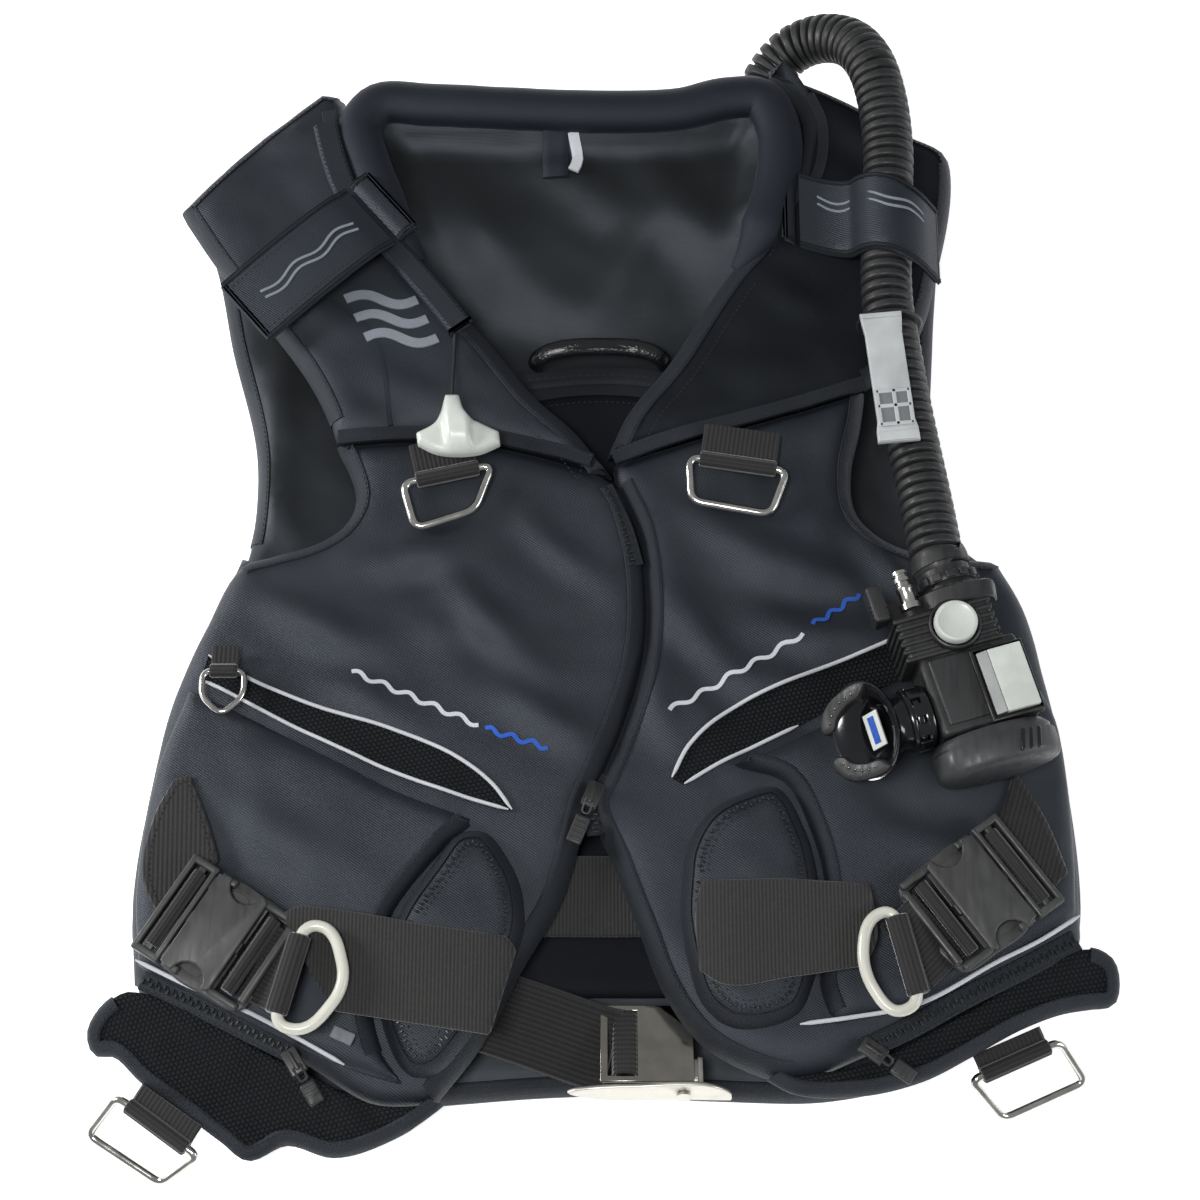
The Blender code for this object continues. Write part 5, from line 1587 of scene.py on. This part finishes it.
def shoulder_flaps():
    wide = 48.0
    placed = Matrix.Translation((-142.0, 247.0, 68.0)) @ Matrix.Rotation(math.radians(220.6), 4, "Z")
    rise = [(0, -2.2), (6, -0.8), (12, 1.0), (40, 1.0), (70, -2.0), (97, -6.5)]
    flap("l", rise, wide, placed, (-2.0, 3.0))
    flap_root("l", [(-17, 0.4), (-10, 1.0), (-7, 0.2), (-5.2, -1.6)], wide, placed)
    wide = 50.0
    lean = Matrix.Identity(4)
    lean.col[0] = (math.cos(math.radians(-22)), math.sin(math.radians(-22)), 0.0, 0.0)
    placed = Matrix.Translation((123.5, 256.0, 60.5)) @ lean
    over_hose = [(0, -2.2), (10, -1.2), (18, 0.5), (32, 8), (39, 20), (46, 28.5), (57, 33), (68, 30.5),
                 (76, 25.5), (83, 18), (88, 12)]
    flap("r", over_hose, wide, placed, (6.0, 11.0))
    flap_root("r", [(-10, 0.8), (-6.5, 0.6), (-4.2, -1.2)], wide, placed)


def dump_sleeve():
    """A narrow cloth channel for the pull cord, open at its lower end."""
    route = [(-172, 316, 60.4), (-166, 292, 60.8), (-156, 266, 61.2), (-138, 242, 61.6), (-118, 217, 62.0),
             (-100, 195, 62.2), (-85, 175, 62.2)]
    line = smooth_line(route, 4.0)
    bm = sweep(line, flat_profile(16.0, 5.0, 2.3))
    finish_mesh("cord_channel", bm, "nylon", replaces=["dump_sleeve"], sharp=60)
    side = sides_of(line)
    for sign in (-1, 1):
        stitch(np.column_stack([line[:, :2] + side * 6.6 * sign, line[:, 2] + 2.4]))
    end = Vector(line[-1])
    way = end - Vector(line[-3])
    across = Vector((-way.y, way.x, 0.0)).normalized()
    mouth = [end - across * 8.2, end, end + across * 8.2]
    finish_mesh("cord_channel_mouth", sweep(mouth, flat_profile(3.4, 5.8)), "binding")
    gap = [end + way.normalized() * 1.6 + across * reach for reach in (-6.0, 6.0)]
    finish_mesh("cord_channel_gap", sweep(gap, flat_profile(1.2, 3.0)), "gloss")


# --- zips, whistle ---------------------------------------------------------------------------------


def zip_slider(node, centre, heading, length):
    """A slider with its bridge, a cord loop and the ribbed rubber pull on it."""
    placed = Matrix.Translation(Vector(centre)) @ Matrix.Rotation(heading, 4, "Z")
    base = [box((15.0, 9.4, 1.5), (0, 0, -1.4), 0.6), box((15.0, 9.4, 1.5), (0, 0, 1.4), 0.6),
            box((4.5, 2.2, 2.6), (-4.4, 0, 0), 0.5), box((11.0, 2.4, 1.6), (0, 0, 3.0), 0.7)]
    finish_mesh(f"{node}_body", joined(base), "black", body=node, replaces=[node], placed=placed)
    loop = rounded_loop([(3, -2.4, 2.4), (12, -2.2, 0.6), (12, 2.2, 0.6), (3, 2.4, 2.4)], 2.0, 5)
    bm = sweep(loop, round_profile(0.8, 0.8, 8), True)
    finish_mesh(f"{node}_loop", bm, "rubber", body=node, placed=placed)
    pull = [box((length - 7, 9.0, 3.2), (13.5 + (length - 7) / 2, 0, -0.4), 1.5, 4)]
    pull += [box((1.4, 7.0, 1.0), (15.5 + 3.0 * k, 0, 1.2), 0.4) for k in range(int((length - 12) / 3) + 1)]
    finish_mesh(f"{node}_pull", joined(pull), "rubber", body=node, placed=placed)


def zip_sliders():
    zip_slider("main_zip_slider", (-4.0, -119.0, 61.2), math.radians(-112), 24.0)
    zip_slider("pocket_zip_slider_l", (-168.0, -270.0, 58.4), math.radians(-58), 20.0)
    zip_slider("pocket_zip_slider_r", (150.0, -264.0, 59.2), math.radians(-35), 20.0)


def whistle():
    placed = Matrix.Translation((170.0, 124.0, 99.6)) @ Matrix.Rotation(math.radians(5.5), 4, "Z")
    outline = [(-12.4, 41.6), (-12.0, 36), (-11.0, 28), (-11.0, -28), (-12.2, -34), (-12.4, -41.6),
               (12.4, -41.6), (12.2, -34), (11.0, -28), (11.0, 28), (12.0, 36), (12.4, 41.6)]
    body = [plate([outline], 4.2, -0.6, 0.9), box((24.0, 3.0, 1.4), (0, 39.4, 1.7), 0.5),
            box((24.0, 6.0, 1.6), (0, -38.2, 1.5), 0.6)]
    body += [box((2.4, 23.0, 1.6), (x, -20.5, 2.0), 0.4) for x in (-9.4, 0.6, 9.4)]
    body += [box((20.0, 2.4, 1.6), (0, y, 2.0), 0.4) for y in (-10.0, -19.5, -31.0)]
    finish_mesh("whistle_body", joined(body), "grey", replaces=["whistle"], placed=placed)
    # The recess is a darker grey sheet between the ribs: painted shade.
    finish_mesh("whistle_recess", box((17.6, 20.0, 0.8), (0, -20.5, 1.7), 0.2), "shade", placed=placed)
    radius = HOSE_RADIUS + 1.6
    ring = [(173.9 + radius * math.cos(a), 169.5, 76.4 + radius * math.sin(a))
            for a in [2 * math.pi * k / 40 for k in range(40)]]
    band = sweep(ring, flat_profile(6.0, 2.2), True, up=(0, 1, 0))
    finish_mesh("whistle_strap", band, "rubber", replaces=["whistle_tie"])


# --- inflator --------------------------------------------------------------------------------------

INFLATOR = Matrix.Translation((196.0, -35.0, 0.0)) @ Matrix.Rotation(math.radians(16), 4, "Z")
BODY_TOP = 106.0
BODY_LOW = 68.0
PORT_Y = -41.0
PORT_Z = 88.0
BUTTON_AT = (4.0, 1.0)
DEFLATE_AT = (22.0, -38.0)


def inflator_body():
    middle = (BODY_TOP + BODY_LOW) / 2
    thick = BODY_TOP - BODY_LOW
    parts = [box((54.0, 25.0, thick - 3.0), (0, 0.5, middle), 3.0)]
    for index in range(6):
        parts.append(box((57.0, 2.7, thick - 0.6), (0, 12.0 - 4.7 * index, middle), 1.1))
    parts.append(box((58.0, 49.0, thick - 3.0), (7.0, -35.0, middle - 1.0), 4.0, 5))
    parts.append(box((38.0, 40.0, 4.0), (2.0, -34.0, BODY_TOP - 3.6), 1.8))
    finish_mesh("inflator_block", joined(parts), "rubber", replaces=["inflator_body"], placed=INFLATOR)
    profile = [(0, -4), (15.0, -4), (15.0, 3.0), (14.4, 3.8), (13.4, 4.0), (12.9, 3.2), (12.9, -3.0),
               (0, -3.0)]
    boss = turned(profile, (*BUTTON_AT, BODY_TOP - 0.5))
    x, y = DEFLATE_AT
    bezel = plate([rectangle(x - 0.5, y, 15.5, 21.5), rectangle(x, y, 13.4, 19.4)], 8.0, BODY_TOP - 2.0, 1.0)
    finish_mesh("inflator_bezels", joined([boss, bezel]), "black", placed=INFLATOR)
    profile = [(0, 6.8), (16.6, 6.8), (16.6, 12), (15.4, 14), (15.4, 32), (0, 32)]
    neck = [turned(profile, (12.0, 7.0, PORT_Z), "Y")]
    for y in (23.5, 31.5):
        neck.append(drum(17.6, 5.4, (12.0, y, PORT_Z), "Y", 40, 0.6))
        neck += ring_of_blocks((5.2, 4.6, 2.6), (0, y, 17.8), 0.7, (12.0, 0, PORT_Z), "Y", 14)
    finish_mesh("hose_clamps", joined(neck), "rubber", placed=INFLATOR)
    tether = [(-30, 22, 95.0), (-15, 20, 92.0), (-2, 19.5, 103.0), (8, 19, 107.4), (22, 18, 108.2),
              (31, 17, 106.0), (34, 16, 98.0)]
    bm = sweep(smooth_line(tether, 3.0, corner=95), flat_profile(11.0, 2.2))
    finish_mesh("cap_tether", bm, "rubber", placed=INFLATOR)


def inflator_buttons():
    profile = [(0, -0.9), (12.2, -0.9), (12.2, 3.8), (11.6, 4.7), (10.4, 5.0), (9.6, 4.5), (0, 4.2)]
    button = turned(profile, (*BUTTON_AT, BODY_TOP + 4.0))
    finish_mesh("inflate_key", button, "pale", body="inflate_button", replaces=["inflate_button"],
                placed=INFLATOR)
    x, y = DEFLATE_AT
    face = box((19.5, 37.4, 4.6), (x + 3.0, y, BODY_TOP + 3.5), 0.9)
    finish_mesh("deflate_key", face, "pale", body="deflate_button", replaces=["deflate_button"],
                placed=INFLATOR)
    # The facet takes the darker pale plastic: painted shade on the key's sloping side.
    facet = box((6.4, 37.0, 2.4), (0, 0, 0), 0.5)
    lean = Matrix.Rotation(math.radians(-22), 4, "Y")
    facet.transform(Matrix.Translation((x - 9.6, y, BODY_TOP + 3.7)) @ lean)
    finish_mesh("deflate_key_facet", facet, "pale_painted_shade", body="deflate_button", placed=INFLATOR)


def inflator_fittings():
    profile = [(0, -12), (6.2, -12), (6.2, -8.6), (4.9, -8), (4.9, -1), (5.4, -0.4), (5.4, 1.6), (3.9, 2.4),
               (3.9, 4.6), (4.9, 5.2), (4.9, 7.2), (3.7, 8), (3.7, 9.2), (4.6, 9.8), (4.6, 11.6), (3.2, 12),
               (2.0, 12), (2.0, 8), (0, 8)]
    finish_mesh("quick_nipple", turned(profile, (-15.0, 30.0, 100.0), "Y", 32), "steel",
                replaces=["inflator_nipple"], placed=INFLATOR)
    cap = [box((9.0, 22.0, 15.6), (-33.0, 26.0, 97.0), 2.2)]
    cap += [box((9.8, 1.3, 13.0), (-33.0, 18.5 + 2.5 * k, 97.0), 0.5) for k in range(4)]
    finish_mesh("rubber_cap", joined(cap), "rubber", replaces=["nipple_cap"], placed=INFLATOR)
    profile = [(0, -11.5), (31, -11.5), (34.4, -10), (36.3, -7), (36.3, 4.5), (34.6, 6.0), (34.6, 8.0),
               (31.5, 11.3), (0, 11.3)]
    cover = turned(profile, (6.0, -72.0, 88.5), "Y", 64, (1.0, 0.62))
    finish_mesh("mouth_cover", cover, "paler", replaces=["diaphragm_cover"], placed=INFLATOR)
    vents = []
    for index in range(3):
        vent = box((2.2, 13.0, 2.4), (0, 0, 0), 0.7)
        lean = Matrix.Rotation(math.radians(14 + 6 * index), 4, "Y") @ Matrix.Rotation(-0.35, 4, "Z")
        vent.transform(Matrix.Translation((18.0 + 5.0 * index, -74.0, 109.6 - 1.9 * index)) @ lean)
        vents.append(vent)
    finish_mesh("cover_vents", joined(vents), "gloss", placed=INFLATOR)


def mouthpiece():
    steps = ((-26.0, 18.4, 5.0, 1.2), (-31.0, 17.2, 4.0, 1.0), (-35.2, 18.6, 3.4, 1.2))
    port = [drum(radius, depth, (x, PORT_Y, PORT_Z), "X", 48, bevel) for x, radius, depth, bevel in steps]
    port += ring_of_blocks((7.0, 7.5, 1.6), (-30.6, 0, 18.0), 0.6, (0, PORT_Y, PORT_Z), "X", 10)
    finish_mesh("mouth_port", joined(port), "gloss", placed=INFLATOR)
    walls = [
        # distance along the throat, radius across, radius the other way, offset, tilt in degrees
        (-36.0, 15.5, 15.5, 0.0, 0), (-42.0, 15.0, 15.0, 0.2, 8), (-48.0, 18.0, 15.0, 1.0, 20),
        (-53.0, 22.5, 16.5, 2.0, 33), (-57.0, 26.0, 19.0, 3.6, 42), (-60.0, 28.6, 21.4, 5.2, 48),
        (-61.4, 28.8, 21.6, 6.6, 48), (-60.6, 27.0, 19.8, 7.0, 48), (-57.4, 21.4, 14.6, 4.6, 42),
        (-50.0, 15.0, 11.4, 1.2, 20), (-42.0, 11.6, 11.6, 0.4, 8), (-39.0, 11.4, 11.4, 0.2, 0),
    ]
    bm = bmesh.new()
    sides = 48
    rows = []
    for x, wide, high, rise, tilt in walls:
        lean = math.radians(tilt)
        row = []
        for k in range(sides):
            a = 2 * math.pi * k / sides
            u, v = wide * math.cos(a), high * math.sin(a)
            spot = (x + v * math.sin(lean), PORT_Y + u, PORT_Z + rise + v * math.cos(lean))
            row.append(bm.verts.new(spot))
        rows.append(row)
    for first, second in zip(rows, rows[1:]):
        for k in range(sides):
            bm.faces.new((first[k], first[(k + 1) % sides], second[(k + 1) % sides], second[k]))
    bm.faces.new(rows[0])
    bm.faces.new(rows[-1])
    finish_mesh("bite_flange", bm, "gloss", replaces=["mouthpiece"], placed=INFLATOR)
    lean = Matrix.Translation((-60.0, -41.0, 94.0)) @ Matrix.Rotation(math.radians(-42), 4, "Y")
    tabs, dots = [], []
    for sign in (-1, 1):
        outline = [(6, 25), (2, 27), (-10, 27), (-21, 24), (-28, 18), (-31, 10), (-28, 7), (-22, 8),
                   (-18, 13), (-10, 17), (0, 19)]
        panel = Panel(outline, level(3.0), level(-1.8), (2.6, 1.9), 1.8, 70)
        tab = panel.mesh()
        tab.transform(Matrix.Translation((3.0, 0, 0.0)) @ Matrix.Diagonal((1, sign, 1, 1)))
        tabs.append(tab)
        for x, y in ((-4, 22), (-8.5, 21.8), (-13, 20.6), (-17, 18.6), (-20.6, 15.8), (-23.2, 12.4)):
            dots.append(drum(0.75, 0.5, (x + 3.0, sign * y, 3.0), "Z", 10, 0.2))
    finish_mesh("bite_tabs", joined(tabs), "rubber", placed=INFLATOR @ lean)
    finish_mesh("bite_dimples", joined(dots), "gloss", placed=INFLATOR @ lean)
    plug = Matrix.Translation((-55.0, -41.0, 89.5)) @ Matrix.Rotation(math.radians(-50), 4, "Y")
    finish_mesh("mouth_plate", box((11.0, 21.0, 1.4), (0, 0, 0), 0.5), "pale", placed=INFLATOR @ plug)
    finish_mesh("mouth_plate_mark", box((4.6, 16.0, 0.8), (0, 0, 0.7), 0.3), "blue_thread",
                placed=INFLATOR @ plug)


def hose_fittings():
    parts = [drum(16.0, 13.6, (103.0, 341.0, 20.0), "Y", 40, 1.5),
             drum(18.0, 5.0, (103.0, 338.0, 20.0), "Y", 40, 1.2)]
    finish_mesh("elbow", joined(parts), "rubber", replaces=["hose_elbow"])
    line = curve_through(HOSE_ROUTE, 10)[173:190]
    cuff = sweep(line, round_profile(HOSE_RADIUS + 1.6, HOSE_RADIUS + 1.6, 36),
                 scale=[1.0 if 1 < k < len(line) - 2 else 0.95 for k in range(len(line))])
    finish_mesh("hose_cuff", cuff, "rubber")


# --- tank band and cam buckle ----------------------------------------------------------------------

CAM_FRAME = Matrix.Translation((26.0, -258.0, 41.0)) @ Matrix.Rotation(math.radians(-20), 4, "X")
CAM_PIN = (20.0, 0.0, -3.6)


def tank_band():
    route = [(-90, -232, 33.6), (-64, -237, 33.8), (-36, -246, 34.4), (-14, -254, 35.6), (0, -259, 37.4),
             (7, -261, 40.2)]
    ribbon("tank_webbing", route, 48.0, 2.6, "webbing", 3.0, replaces=["tank_band"])
    path = [(-18.5, 0, -1.0), (-17.1, 0, 3.6), (-11.5, 0, 4.6), (-6.5, 0, 3.2), (-5.5, 0, -1.0)]
    bm = sweep(smooth_line(path, 1.6, corner=100), flat_profile(40.0, 1.9))
    finish_mesh("cam_webbing", bm, "webbing", placed=CAM_FRAME)


def cam_buckle():
    outline = [(-26, -24), (26, -24), (26, 12), (15, 24), (-26, 24)]
    slots = [rectangle(x, 0, 2.7, 20.5) for x in (-19.0, -8.0)]
    parts = [plate([outline] + slots, 2.0, 2.0, 0.5)]
    parts += [box((12.0, 2.0, 9.0), (20.0, y, -2.4), 0.7) for y in (-22.0, 22.0)]
    finish_mesh("cam_plate", joined(parts), "mirror", replaces=["cam_buckle_plate"], placed=CAM_FRAME)
    pin = drum(2.2, 58.0, CAM_PIN, "Y", 24, 0.6)
    head = turned([(0, -1.4), (4.4, -1.4), (3.6, 0.6), (0, 1.2)], (CAM_PIN[0], -29.4, CAM_PIN[2]), "Y", 28)
    finish_mesh("cam_rivet", joined([pin, head]), "satin", replaces=["cam_pin"], placed=CAM_FRAME)
    leaf = smooth_line([(-64, 0.5), (-60, 3.0), (-20, 8.0), (8, 9.5), (18, 6.5), (26, -1.0), (27, -8.0),
                        (8, -7.5), (-62, -2.0)], 2.5, True, 70)
    hole = arc((0, 0), 2.6, 0, 337.5, 15)
    blade = plate([leaf, hole], 2.4, 27.0, 0.7)
    blade.transform(Matrix.Translation(CAM_PIN) @ Matrix.Rotation(math.radians(90), 4, "X"))
    parts = [blade, drum(4.2, 41.0, CAM_PIN, "Y", 28, 0.6), box((3.0, 20.4, 7.0), (29.5, -17.4, -3.6), 0.7),
             box((10.0, 12.0, 4.0), (25.5, -13.0, -4.6), 0.7)]
    finish_mesh("cam_leaf", joined(parts), "satin", body="cam_lever", replaces=["cam_lever"],
                placed=CAM_FRAME)


# --- embroidery ------------------------------------------------------------------------------------


def wave_line(start, stop, height, waves):
    count = 60
    start, stop = Vector(start), Vector(stop)
    along = stop - start
    side = Vector((-along.y, along.x)).normalized()
    return [tuple(start + along * t + side * height * math.sin(2 * math.pi * waves * t))
            for t in [k / count for k in range(count + 1)]]


def embroidery():
    """Plain wave lines, in place of any lettering."""
    for name, line, finish in (
        ("wave_l_a", wave_line((-144, -44), (-70, -76), 1.6, 5), "silver"),
        ("wave_l_b", wave_line((-66, -78), (-30, -90), 1.6, 3), "blue_thread"),
        ("wave_r_a", wave_line((40, -68), (118, -22), 1.6, 5), "silver"),
        ("wave_r_b", wave_line((124, -16), (152, 4), 1.6, 3), "blue_thread"),
    ):
        tape(name, line, 2.6, front, 0.7, finish, sew=(), spacing=1.5)
    for index in range(3):
        shift = 13.0 * index
        line = wave_line((-156 + shift * 0.5, 196 - shift), (-112 + shift * 0.5, 196 - shift), 3.4, 1.0)
        tape(f"yoke_wave_{index}", line, 6.4, front, 0.8, "motif", sew=(), spacing=1.5)


def build():
    camera()
    studio()
    inflator_hose()
    dump_cord(dump_knob())
    back()
    tank_plate()
    dump_valve()
    back_pad()
    carry_handle()
    cummerbund()
    neck_label()
    collar()
    yokes()
    lobes()
    pockets()
    trim()
    skirts()
    pouch_straps()
    pouch_tab()
    for side in BUCKLES:
        buckle_socket(side)
        buckle_plug(side)
    ivory_rings()
    steel_rings()
    side_webbing()
    shoulder_flaps()
    dump_sleeve()
    zip_sliders()
    whistle()
    inflator_body()
    inflator_buttons()
    inflator_fittings()
    mouthpiece()
    hose_fittings()
    tank_band()
    cam_buckle()
    embroidery()
    sew_stitches()


build()
